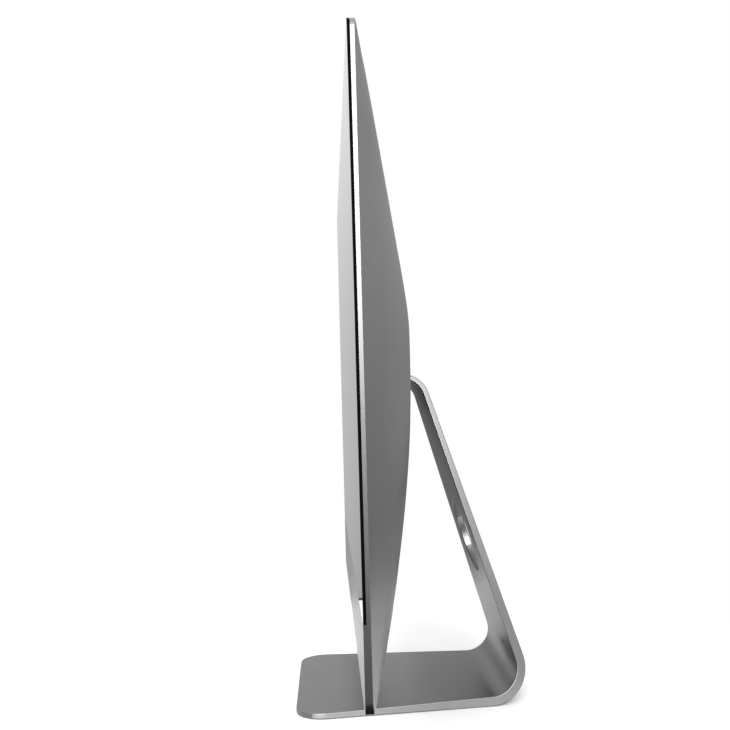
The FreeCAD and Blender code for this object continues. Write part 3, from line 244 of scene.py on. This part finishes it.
# ---------------------------------------------------------------------------
# Finishes
# ---------------------------------------------------------------------------
def blasted_metal(name, tone, settings, lighter=1.0, handling=0.5):
    """Bead-blasted, anodised aluminium: a fine even grain, and a faint cloudiness. Scaling the tone up or
    down paints light or shade onto a copy of the metal.
    """
    finish = Finish(name, metallic=1.0)
    grain = finish.noise(settings.grain, 2.0)
    cloud = finish.noise(90 * MM, 3.0)
    fleck = finish.noise(0.6 * MM, 1.0)
    base = finish.mix(cloud.ramp(0.35, 0.65), shade(tone, 0.955 * lighter), shade(tone, 1.035 * lighter))
    dark = finish.mix(fleck.ramp(0.38, 0.62, 0.0, 0.10), base, shade(tone, 0.6))
    finish.set(Base_Color=dark)
    finish.set(Roughness=settings.roughness + 0.05 * (cloud - 0.5) * handling + 0.06 * (grain - 0.5))
    return finish.bump(grain, settings.relief, 0.35).material


def edge_highlight_metal(name, tone, roughness):
    """A bright metal for the edges round openings, brighter than the blasted faces to paint a highlight
    there, with fine cutter lines.
    """
    finish = Finish(name, metallic=1.0)
    lines = finish.noise(0.08 * MM, 2.0, (1, 1, 0.05))
    finish.set(Base_Color=finish.mix(lines.ramp(0.3, 0.7), shade(tone, 0.9), tone))
    finish.set(Roughness=roughness + 0.08 * (lines - 0.5))
    return finish.bump(lines, 0.002 * MM, 0.3).material


def screen_glass(screen):
    """Polished cover glass over a printed black border and the unlit panel."""
    finish = Finish("screen_glass", IOR=1.52, Coat_Roughness=0.02, Specular_IOR_Level=0.0)
    low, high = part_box("lcd_panel")
    x, _, z = finish.axes()
    middle, half = (low.z + high.z) / 2, (high.z - low.z) / 2
    edge = 4 * MM
    wide = x.absolute().below(high.x - edge)
    tall = (z - middle).absolute().below(half - edge)
    front_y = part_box("cover_glass")[0].y + 0.1 * MM
    facing = finish.axes()[1].below(front_y)
    window = wide * tall * facing
    weave = finish.noise(0.25 * MM, 0.0)
    lit = finish.mix(weave.ramp(0.3, 0.7), shade(screen.panel, 0.9), shade(screen.panel, 1.1))
    finish.set(Base_Color=finish.mix(window, screen.border, lit))
    smear = finish.noise(60 * MM, 4.0, (1, 1, 0.4))
    polished = screen.gloss + 0.03 * smear.ramp(0.45, 0.75)
    finish.set(Roughness=polished * facing + 0.75 * (1 - facing), Coat_Weight=facing * 1.0)
    return finish.material


def moulded(name, tone, roughness=0.5, grain=0.5 * MM, relief=0.02 * MM):
    """Moulded plastic with a spark-eroded texture."""
    finish = Finish(name)
    texture = finish.noise(grain, 3.0)
    finish.set(Base_Color=finish.mix(texture.ramp(0.3, 0.7), shade(tone, 0.85), shade(tone, 1.15)))
    finish.set(Roughness=roughness + 0.12 * (texture - 0.5))
    return finish.bump(texture, relief, 0.5).material


def rubber(name, tone):
    """Soft matt rubber with a slight bloom."""
    finish = Finish(name, Specular_IOR_Level=0.15)
    bloom = finish.noise(12 * MM, 4.0)
    pores = finish.noise(0.3 * MM, 1.0)
    finish.set(Base_Color=finish.mix(bloom.ramp(0.35, 0.7), tone, shade(tone, 1.35)))
    finish.set(Roughness=0.82 + 0.1 * (pores - 0.5))
    return finish.bump(pores, 0.02 * MM, 0.4).material


def plated_steel(name, tone, roughness=0.32, lines=(1, 1, 0.04)):
    """Pressed and plated steel with rolling lines."""
    finish = Finish(name, metallic=1.0)
    rolled = finish.noise(0.25 * MM, 3.0, lines)
    stain = finish.noise(25 * MM, 3.0)
    finish.set(Base_Color=finish.mix(stain.ramp(0.3, 0.75), tone, shade(tone, 0.82)))
    finish.set(Roughness=roughness + 0.14 * (rolled - 0.5))
    return finish.bump(rolled, 0.006 * MM, 0.4).material


def circuit_board(name, tone):
    """Solder mask over copper tracks, with rows of small plated pads."""
    finish = Finish(name, Coat_Weight=0.35, Coat_Roughness=0.25)
    tracks = finish.node("ShaderNodeTexBrick", {"offset": 0.37}, output=1, Vector=finish.place,
                         Scale=160.0, Mortar_Size=0.035)
    pads = finish.node("ShaderNodeTexVoronoi", {"feature": "F1"}, Vector=finish.place, Scale=240.0)
    tin = pads.below(0.16)
    board = finish.mix(tracks, tone, shade(tone, 1.8))
    finish.set(Base_Color=finish.mix(tin, board, (0.62, 0.60, 0.55)), Metallic=tin * 0.9)
    finish.set(Roughness=0.42 - 0.12 * tin)
    return finish.bump(tracks + tin, 0.03 * MM, 0.6).material


def coated_lens(name):
    """Camera glass with a faint violet coating."""
    finish = Finish(name, roughness=0.04, IOR=1.6, Coat_Weight=1.0, Coat_Roughness=0.01)
    x, _, z = finish.axes()
    middle = lens_place()
    off_centre = x * x + (z - middle.z) * (z - middle.z)
    reach = off_centre.maths("SQRT", off_centre)
    tint = finish.mix(reach.ramp(0.2 * MM, 1.6 * MM), (0.035, 0.018, 0.06), (0.004, 0.004, 0.006))
    return finish.set(Base_Color=tint).material


def woven_mesh(name, tone):
    """Acoustic cloth over the speaker slots."""
    finish = Finish(name, roughness=0.9)
    warp = finish.node("ShaderNodeTexWave", {"bands_direction": "X"}, Vector=finish.place, Scale=900.0)
    weft = finish.node("ShaderNodeTexWave", {"bands_direction": "Y"}, Vector=finish.place, Scale=900.0)
    cloth = warp * 0.5 + weft * 0.5
    finish.set(Base_Color=finish.mix(cloth, shade(tone, 0.6), shade(tone, 1.6)))
    return finish.bump(cloth, 0.05 * MM).material


def lamp_glow(name):
    """A small lamp that is off, under a clear bead."""
    finish = Finish(name, roughness=0.12, Coat_Weight=1.0)
    bead = finish.noise(0.4 * MM, 1.0)
    return finish.set(Base_Color=finish.mix(bead, (0.05, 0.08, 0.05), (0.09, 0.13, 0.09))).material


FINISHES = {}


def make_finishes(scene):
    """Fills FINISHES from the scene's settings."""
    metal, screen = scene.computer_metal, scene.computer_screen
    tone = tuple(metal.tone)
    FINISHES.update({
        "housing": blasted_metal("housing_metal", tone, metal),
        # The stand's copy is darker than the housing's: painted shade.
        "stand": blasted_metal("stand_metal", tone, metal, lighter=0.70, handling=0.8),
        # The stand's side faces get a brighter copy of the metal: painted light.
        "stand_edge": blasted_metal("stand_edge_metal", tone, metal, lighter=1.4, handling=0.4),
        # The housing's forward faces get a brighter copy of the metal: painted light.
        "front": blasted_metal("front_metal", tone, metal, lighter=1.35, handling=0.4),
        # The edges round the openings get a much brighter metal: painted highlight.
        "edge": edge_highlight_metal("cut_edge_metal", shade(tone, 1.7), 0.25),
        "glass": screen_glass(screen),
        "lens": coated_lens("camera_lens_glass"),
        "lamp": lamp_glow("camera_lamp_bead"),
        "black": moulded("black_moulding", (0.012, 0.012, 0.013), 0.55),
        "grey": moulded("grey_moulding", (0.16, 0.165, 0.17), 0.5),
        "chip": moulded("chip_moulding", (0.018, 0.018, 0.02), 0.6, 0.15 * MM, 0.01 * MM),
        "rubber": rubber("soft_rubber", (0.045, 0.045, 0.048)),
        "glue": rubber("adhesive_strip", (0.003, 0.003, 0.0035)),
        "steel": plated_steel("pressed_steel", (0.52, 0.52, 0.53)),
        "can": plated_steel("socket_can", (0.42, 0.42, 0.44), 0.28, (0.05, 1, 1)),
        "fastener": plated_steel("fastener_steel", (0.36, 0.36, 0.38), 0.3, (1, 0.1, 1)),
        "copper": plated_steel("dull_copper", (0.62, 0.30, 0.17), 0.36, (0.06, 1, 1)),
        "gold": plated_steel("gold_plate", (0.83, 0.60, 0.24), 0.2, (1, 0.05, 1)),
        "alloy": plated_steel("plain_alloy", (0.62, 0.63, 0.65), 0.4),
        "board": circuit_board("solder_mask", (0.008, 0.035, 0.028)),
        "panel": moulded("panel_film", (0.02, 0.02, 0.024), 0.25, 0.2 * MM, 0.004 * MM),
        "cloth": woven_mesh("speaker_cloth", (0.02, 0.02, 0.02)),
    })


NODE_FINISHES = {
    "glass": ["cover_glass"],
    "lens": ["camera_module"],
    "black": ["hinge_barrel", "hinge_shroud", "vent_grille", "fan_housing", "fan_rotor", "power_inlet",
              "audio_socket", "power_switch", "drive_brackets", "power_supply_cover", "speaker_left",
              "speaker_right", "display_cable"],
    "grey": ["door_release", "backlight_tray"],
    "chip": ["board_chips", "microphones", "light_sensor"],
    "rubber": ["foot_pad", "supply_cable"],
    "glue": ["display_adhesive"],
    "steel": ["hinge_pins", "friction_washers", "hinge_bracket_left", "hinge_bracket_right", "memory_cage",
              "coin_cell"],
    "can": ["card_slot", "data_sockets", "link_sockets", "network_socket", "inlet_pins"],
    "fastener": ["neck_bolts", "hinge_nuts", "bracket_screws", "board_screws"],
    "copper": ["hinge_bushes", "heat_pipes", "cold_plate"],
    "alloy": ["fin_stack", "storage_drive"],
    "board": ["logic_board", "memory_modules", "power_supply", "wireless_card", "antennas"],
    "panel": ["lcd_panel"],
    "cloth": ["speaker_mesh"],
}


def wear(obj, finish):
    """Gives an object one finish all over."""
    obj.data.materials.clear()
    obj.data.materials.append(FINISHES[finish])


# ---------------------------------------------------------------------------
# Modelling by hand
# ---------------------------------------------------------------------------
def nothing_selected():
    if bpy.context.object and bpy.context.object.mode != "OBJECT":
        bpy.ops.object.mode_set(mode="OBJECT")
    bpy.ops.object.select_all(action="DESELECT")


def take_up(obj):
    """Selects one object alone and makes it the active one."""
    nothing_selected()
    obj.select_set(True)
    bpy.context.view_layer.objects.active = obj
    return obj


@contextmanager
def editing(obj, kind="FACE"):
    """Edit mode on one object, with nothing selected in it."""
    take_up(obj)
    bpy.ops.object.mode_set(mode="EDIT")
    bpy.ops.mesh.select_mode(type=kind)
    bpy.ops.mesh.select_all(action="DESELECT")
    yield
    bpy.ops.object.mode_set(mode="OBJECT")


def pick(obj, kind, test):
    """Selects the faces, edges or verts that pass a test, in edit mode."""
    mesh = bmesh.from_edit_mesh(obj.data)
    for item in getattr(mesh, kind):
        item.select_set(bool(test(item)))
    mesh.select_flush_mode()
    bmesh.update_edit_mesh(obj.data)


def settle(obj, name):
    """Names a new primitive and moves its place into its mesh."""
    obj.name = name
    obj.data.name = name
    take_up(obj)
    bpy.ops.object.transform_apply(location=True, rotation=True, scale=True)
    return obj


def apply_modifier(obj, kind, **settings):
    take_up(obj)
    modifier = obj.modifiers.new(kind.title(), kind)
    for name, value in settings.items():
        setattr(modifier, name, value)
    bpy.ops.object.modifier_apply(modifier=modifier.name)


def smooth(obj, degrees=30):
    take_up(obj)
    bpy.ops.object.shade_smooth_by_angle(angle=math.radians(degrees))


def joined(pieces, name):
    """Several pieces made one."""
    take_up(pieces[0])
    for piece in pieces[1:]:
        piece.select_set(True)
    bpy.ops.object.join()
    pieces[0].name = name
    pieces[0].data.name = name
    return pieces[0]


def finish_piece(obj, finish, body, slot, *nodes):
    wear(obj, finish)
    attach(obj, body)
    if nodes:
        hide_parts(*nodes)
    return obj


def smooth_shell(node, name, finish, body, slot, degrees=28):
    """The same shell as its node, welded so that its curved faces shade smoothly."""
    source = frame["nodes"][node]
    shell = source.copy()
    shell.data = source.data.copy()
    for key in list(shell.keys()):
        if key.startswith("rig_"):
            del shell[key]
    shell.parent = None
    bpy.context.scene.collection.objects.link(shell)
    shell.name = name
    shell.data.name = name
    with editing(shell, "VERT"):
        bpy.ops.mesh.select_all(action="SELECT")
        bpy.ops.mesh.remove_doubles(threshold=0.002 * MM)
    if shell.data.has_custom_normals:
        take_up(shell)
        bpy.ops.mesh.customdata_custom_splitnormals_clear()
    smooth(shell, degrees)
    apply_modifier(shell, "WEIGHTED_NORMAL", keep_sharp=True, weight=50)
    return finish_piece(shell, finish, body, slot, node)


def release_coil():
    """The spring behind the door's release, welded to shade smoothly. How far it would close up as the
    release is pressed is worked out, but it is not closed up.
    """
    low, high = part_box("release_spring")
    travel = next(joint for joint in frame["joints"] if joint["name"] == "release_press")["range_m"][1]
    coil = smooth_shell("release_spring", "release_coil", "fastener", DISPLAY, "steel_fasteners")
    slack = 1.3    # the release slopes, so its spring closes up by more than the travel
    keep = 1 - slack * travel / (high.y - low.y)
    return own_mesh(coil)


def dress_faces(shell, finish, test):
    """Dresses the faces whose normal passes a test in a second finish."""
    shell.data.materials.append(FINISHES[finish])
    for face in shell.data.polygons:
        if test(face.normal):
            face.material_index = 1


def islands(node):
    """The boxes of a node's separate solids, which lie side by side along X."""
    mesh = frame["nodes"][node].data
    faces = [[mesh.vertices[i].co for i in face.vertices] for face in mesh.polygons]
    faces.sort(key=lambda corners: min(co.x for co in corners))
    groups, reach = [], -math.inf
    for corners in faces:
        if min(co.x for co in corners) > reach + 0.01 * MM:
            groups.append([])
        groups[-1] += corners
        reach = max(reach, max(co.x for co in corners))
    return [(Vector([min(co[i] for co in group) for i in range(3)]),
             Vector([max(co[i] for co in group) for i in range(3)])) for group in groups]


# ---------------------------------------------------------------------------
# Detail pieces
# ---------------------------------------------------------------------------
def rim(low, high, corner, settings, behind=20 * MM):
    """A fine bright edge that lies on the housing round one rounded opening."""
    centre = (low + high) / 2
    wide, tall = high.x - low.x + 2 * settings.rim_width, high.z - low.z + 2 * settings.rim_width
    corner += settings.rim_width
    nothing_selected()
    bpy.ops.mesh.primitive_plane_add(size=1, location=(centre.x, high.y + behind, centre.z),
                                     rotation=(-math.pi / 2, 0, 0))
    ring = bpy.context.object
    ring.scale = (wide, tall, 1)
    settle(ring, "rim")
    with editing(ring, "VERT"):
        bpy.ops.mesh.select_all(action="SELECT")
        bpy.ops.mesh.bevel(offset=min(corner, wide / 2.01, tall / 2.01), segments=8, affect="VERTICES")
        bpy.ops.mesh.remove_doubles(threshold=0.01 * MM)
    with editing(ring):
        bpy.ops.mesh.select_all(action="SELECT")
        bpy.ops.mesh.inset(thickness=settings.rim_width)
        pick(ring, "faces", lambda face: len(face.verts) > 4)
        bpy.ops.mesh.delete(type="FACE")
    with editing(ring, "EDGE"):
        pick(ring, "edges", lambda edge: edge.calc_length() > 6 * MM)
        bpy.ops.mesh.subdivide(number_cuts=3)
    apply_modifier(ring, "SHRINKWRAP", target=bpy.data.objects["housing_shell"], wrap_method="PROJECT",
                   use_project_y=True, use_negative_direction=True, use_positive_direction=False)
    apply_modifier(ring, "SOLIDIFY", thickness=settings.rim_height, offset=0)
    return ring


def port_rims(settings):
    """Bright edges round the sockets and the inlet, painted highlights on the housing."""
    play = 0.22 * MM
    grow = Vector((play, 0, play))
    rims = []
    for node in ("card_slot", "data_sockets", "link_sockets", "network_socket"):
        for low, high in islands(node):
            rims.append(rim(low - grow, high + grow, 0.55 * MM, settings))
    low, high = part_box("audio_socket")
    rims.append(rim(low - grow, high + grow, (high.x - low.x) / 2 + play, settings))
    low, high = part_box("power_inlet")
    rims.append(rim(low - grow, high + grow, 4 * MM, settings))
    piece = joined(rims, "port_rims")
    smooth(piece)
    return finish_piece(piece, "edge", DISPLAY, "aluminium_shell")


def bar(low, high, name="bar", round_by=0.08 * MM):
    """A small bar with its corners broken."""
    nothing_selected()
    centre, size = (low + high) / 2, high - low
    bpy.ops.mesh.primitive_cube_add(size=1, location=centre)
    piece = bpy.context.object
    piece.scale = size
    settle(piece, name)
    with editing(piece, "EDGE"):
        bpy.ops.mesh.select_all(action="SELECT")
        bpy.ops.mesh.bevel(offset=min(round_by, min(size) / 3), segments=1, affect="EDGES")
    return piece


def socket_contacts():
    """Plated contact strips along the tongues of the data and link sockets."""
    strips = []
    for node, count, reach in (("data_sockets", 4, 4.5 * MM), ("link_sockets", 6, 2.2 * MM)):
        for low, high in islands(node):
            middle = (low + high) / 2
            step = 2 * reach / (count - 1)
            for i in range(count):
                x = middle.x - reach + i * step
                wide = min(0.5 * step, 1.0 * MM)
                top = middle.z + 0.8 * MM
                strips.append(bar(Vector((x - wide / 2, high.y - 7 * MM, top - 0.02 * MM)),
                                  Vector((x + wide / 2, high.y - 1.2 * MM, top + 0.10 * MM))))
    piece = joined(strips, "socket_contacts")
    return finish_piece(piece, "gold", DISPLAY, "socket_metal")


def network_springs(settings):
    """The row of sprung contact wires in the network socket, each bent down to meet a plug."""
    low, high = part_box("network_socket")
    middle = (low.x + high.x) / 2
    pitch = 1.02 * MM
    wires = []
    for i in range(settings.contacts):
        x = middle + (i - (settings.contacts - 1) / 2) * pitch
        wire = bar(Vector((x - 0.2 * MM, low.y + 1.5 * MM, high.z - 1.5 * MM)),
                   Vector((x + 0.2 * MM, high.y - 1.5 * MM, high.z - 1.15 * MM)), "wire", 0.05 * MM)
        with editing(wire, "VERT"):
            pick(wire, "verts", lambda v: v.co.y < low.y + 3 * MM)
            bpy.ops.transform.translate(value=(0, 0, -3.2 * MM))
        wires.append(wire)
    piece = joined(wires, "network_springs")
    return finish_piece(piece, "gold", DISPLAY, "socket_metal")


def lens_place():
    """The middle of the camera's lens, on the front of the glass."""
    low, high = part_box("camera_module")
    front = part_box("cover_glass")[0].y
    return Vector((0, front, high.z - 4 * MM))


def dome(name, centre, radius, rise, sides=48):
    """A shallow round bead on the glass, with a stepped edge."""
    nothing_selected()
    bpy.ops.mesh.primitive_circle_add(vertices=sides, radius=radius, fill_type="NGON", location=centre,
                                      rotation=(math.pi / 2, 0, 0))
    bead = settle(bpy.context.object, name)
    with editing(bead):
        bpy.ops.mesh.select_all(action="SELECT")
        steps = 4
        for step in range(steps):
            bpy.ops.mesh.inset(thickness=radius * 0.18, depth=rise / steps * (steps - step) / 2.5)
    take_up(bead)
    bpy.ops.object.shade_smooth()
    return bead


def camera_lens(settings):
    """The camera's dark lens, a coated bead on the glass."""
    place = lens_place()
    lens = dome("camera_lens", place - Vector((0, 0.01 * MM, 0)), settings.lens_radius, 0.06 * MM)
    return finish_piece(lens, "lens", DISPLAY, "camera_glass")


def camera_ring(settings):
    """The fine dark ring round the lens."""
    place = lens_place()
    nothing_selected()
    bpy.ops.mesh.primitive_torus_add(location=place, rotation=(math.pi / 2, 0, 0), major_segments=64,
                                     minor_segments=10, major_radius=settings.lens_radius + 0.35 * MM,
                                     minor_radius=0.16 * MM)
    ring = bpy.context.object
    ring.scale = (1, 1, 0.4)
    settle(ring, "camera_ring")
    with editing(ring):
        pick(ring, "faces", lambda face: face.calc_center_median().y > place.y + 0.02 * MM)
        bpy.ops.mesh.delete(type="FACE")
    with editing(ring, "EDGE"):
        pick(ring, "edges", lambda edge: edge.is_boundary)
        bpy.ops.mesh.extrude_region_move(TRANSFORM_OT_translate={"value": (0, 0.03 * MM, 0)})
    smooth(ring, 60)
    return finish_piece(ring, "grey", DISPLAY, "grey_plastic")


def camera_lamp(settings):
    """The small lamp beside the lens."""
    place = lens_place() + Vector((9 * MM, -0.01 * MM, 0))
    lamp = dome("camera_lamp", place, settings.lamp_radius, 0.04 * MM, 24)
    return finish_piece(lamp, "lamp", DISPLAY, "camera_glass")


def button_ring(settings):
    """A bright edge round the power button's opening, a painted highlight."""
    low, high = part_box("power_button")
    middle = (low + high) / 2
    hole_radius = 6.05 * MM
    reach = Vector((hole_radius, 0, hole_radius))
    centre = Vector((middle.x, high.y, middle.z))
    ring = rim(centre - reach, centre + reach, hole_radius, settings)
    ring.name = "button_ring"
    smooth(ring)
    return finish_piece(ring, "edge", DISPLAY, "aluminium_shell")


# ---------------------------------------------------------------------------
# Stage
# ---------------------------------------------------------------------------
def room(settings):
    """A room that is bright overhead and dim at eye level. The camera sees a plain backdrop instead."""
    world = bpy.data.worlds.new("studio")
    bpy.context.scene.world = world
    world.use_nodes = True
    tree = world.node_tree
    shader = tree.nodes["Background"]
    direction = make_node(tree, "ShaderNodeTexCoord", {}, {}, output=0)
    split = tree.nodes.new("ShaderNodeSeparateXYZ")
    tree.links.new(direction.socket, split.inputs[0])
    height = Signal(tree, split.outputs[2])
    glow = height.ramp(-0.05, 1.0, settings.horizon, settings.ceiling)
    lower = height.ramp(-0.3, 0.0, 0.12, 1.0)
    seen = make_node(tree, "ShaderNodeLightPath", {}, {})
    strength = glow * lower * (1 - seen) + seen * 1.0
    tree.links.new(strength.socket, shader.inputs["Strength"])
    shader.inputs["Color"].default_value = (*settings.backdrop, 1.0)


FLOOR_CORNERS = ((-0.42, -1.2), (0.22, 0.40))


def floor_plane():
    """A pale table top that ends beside the object, so that its lower edges stay dark."""
    nothing_selected()
    bpy.ops.mesh.primitive_plane_add(size=1, location=(0, 0, 0))
    floor = bpy.context.object
    (left, front), (right, back) = FLOOR_CORNERS
    floor.scale = (right - left, back - front, 1)
    floor.location = ((left + right) / 2, (front + back) / 2, 0)
    settle(floor, "floor")
    finish = Finish("pale_floor", roughness=0.6)
    cloud = finish.noise(300 * MM, 3.0)
    finish.set(Base_Color=finish.mix(cloud, (0.93, 0.93, 0.935), (0.97, 0.97, 0.97)))
    floor.data.materials.append(finish.material)


# name, place, target, width, height and the setting that holds the power
LIGHTS = (
    ("key", (1.7, -0.5, 1.10), (0.3, -0.5, 1.10), 1.7, 1.3, "key_power"),
    ("front_card", (-0.44, -0.66, 0.5), (0.4, -0.66, 0.5), 1.4, 1.0, "card_power"),
    ("rear_card", (-1.2, 1.1, 0.35), (0, 0, 0.35), 1.4, 1.2, "rear_power"),
    ("back_light", (0.2, 2.4, 1.1), (0, 0, 0.25), 2.8, 1.8, "back_power"),
)


def soft_light(name, place, target, wide, tall, watts):
    nothing_selected()
    bpy.ops.object.light_add(type="AREA", location=place)
    light = bpy.context.object
    light.name = name
    light.data.shape = "RECTANGLE"
    light.data.size = wide
    light.data.size_y = tall
    light.data.energy = watts
    light.visible_camera = False
    light.rotation_euler = (Vector(target) - Vector(place)).to_track_quat("-Z", "Y").to_euler()


CAMERA_PLACE = (0.9276, -0.0672, 0.2550)
CAMERA_TURNS = (-2.297, 3.142, 1.608)    # turn, rise and roll in degrees


def camera(settings):
    """Beside the screen's edge and a little ahead of it, looking along the object's width."""
    place = Vector(CAMERA_PLACE)
    turn, rise, roll = (math.radians(angle) for angle in CAMERA_TURNS)
    forward = Vector((-math.cos(rise) * math.cos(turn), -math.cos(rise) * math.sin(turn), math.sin(rise)))
    level = forward.cross(Vector((0, 0, 1))).normalized()
    upright = level.cross(forward)
    right = level * math.cos(roll) - upright * math.sin(roll)
    up = upright * math.cos(roll) + level * math.sin(roll)
    bpy.ops.object.camera_add(location=place)
    eye = bpy.context.object
    eye.rotation_euler = Matrix((right, up, -forward)).transposed().to_euler()
    eye.data.lens = settings.lens
    eye.data.clip_start = 0.01
    bpy.context.scene.camera = eye


# ---------------------------------------------------------------------------
# Operators
# ---------------------------------------------------------------------------
class COMPUTER_OT_finishes(bpy.types.Operator):
    """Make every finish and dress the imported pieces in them"""
    bl_idname = "computer.finishes"
    bl_label = "Finishes"

    def execute(self, context):
        make_finishes(context.scene)
        for finish, nodes in NODE_FINISHES.items():
            for node in nodes:
                wear(frame["nodes"][node], finish)
        return {"FINISHED"}


class COMPUTER_OT_shells(bpy.types.Operator):
    """Weld and dress the metal shells, which shade smoothly"""
    bl_idname = "computer.shells"
    bl_label = "Shells"

    def execute(self, context):
        shell = smooth_shell("rear_housing", "housing_shell", "housing", DISPLAY, "aluminium_shell")
        # Forward faces get the brighter copy of the metal: painted light.
        dress_faces(shell, "front", lambda normal: normal.y < -0.9)
        plate = smooth_shell("stand", "stand_plate", "stand", "stand", "stand_plate")
        # Faces that look along X get the brighter copy of the metal: painted light.
        dress_faces(plate, "stand_edge", lambda normal: abs(normal.x) > 0.9)
        smooth_shell("memory_door", "memory_cover", "housing", "memory_door", "aluminium_shell")
        smooth_shell("power_button", "power_cap", "housing", "power_button", "aluminium_shell")
        release_coil()
        return {"FINISHED"}


class COMPUTER_OT_sockets(bpy.types.Operator):
    """Add the bright edges and plated contacts of the sockets"""
    bl_idname = "computer.sockets"
    bl_label = "Sockets"

    def execute(self, context):
        settings = context.scene.computer_detail
        port_rims(settings)
        button_ring(settings)
        socket_contacts()
        network_springs(settings)
        return {"FINISHED"}


class COMPUTER_OT_camera_row(bpy.types.Operator):
    """Add the camera's lens, ring and lamp at the top of the glass"""
    bl_idname = "computer.camera_row"
    bl_label = "Camera row"

    def execute(self, context):
        settings = context.scene.computer_detail
        camera_lens(settings)
        camera_ring(settings)
        camera_lamp(settings)
        return {"FINISHED"}


class COMPUTER_OT_stage(bpy.types.Operator):
    """Set up the floor, the room, the lights and the camera"""
    bl_idname = "computer.stage"
    bl_label = "Stage"

    def execute(self, context):
        settings = context.scene.computer_stage
        context.scene.view_settings.view_transform = "Standard"
        room(settings)
        floor_plane()
        for name, place, target, wide, tall, strength in LIGHTS:
            soft_light(name, place, target, wide, tall, getattr(settings, strength))
        camera(settings)
        return {"FINISHED"}


class COMPUTER_PT_panel(bpy.types.Panel):
    """The computer's pieces, in the order that they are made"""
    bl_idname = "COMPUTER_PT_panel"
    bl_label = "Computer"
    bl_space_type = "VIEW_3D"
    bl_region_type = "UI"
    bl_category = "Computer"

    def draw(self, context):
        for operator in OPERATORS:
            self.layout.operator(operator.bl_idname)
        for group in SETTINGS:
            box = self.layout.box()
            for name in SETTINGS[group].__annotations__:
                box.prop(getattr(context.scene, group), name)


OPERATORS = (COMPUTER_OT_finishes, COMPUTER_OT_shells, COMPUTER_OT_sockets, COMPUTER_OT_camera_row,
             COMPUTER_OT_stage)
SETTINGS = {
    "computer_metal": MetalSettings,
    "computer_screen": ScreenSettings,
    "computer_detail": DetailSettings,
    "computer_stage": StageSettings,
}


def register():
    for group, kind in SETTINGS.items():
        bpy.utils.register_class(kind)
        setattr(bpy.types.Scene, group, PointerProperty(type=kind))
    for kind in (*OPERATORS, COMPUTER_PT_panel):
        bpy.utils.register_class(kind)


def unregister():
    for kind in (COMPUTER_PT_panel, *reversed(OPERATORS)):
        bpy.utils.unregister_class(kind)
    for group, kind in SETTINGS.items():
        delattr(bpy.types.Scene, group)
        bpy.utils.unregister_class(kind)


def main():
    register()
    bpy.ops.computer.finishes()
    bpy.ops.computer.shells()
    bpy.ops.computer.sockets()
    bpy.ops.computer.camera_row()
    bpy.ops.computer.stage()


if __name__ == "__main__":
    main()
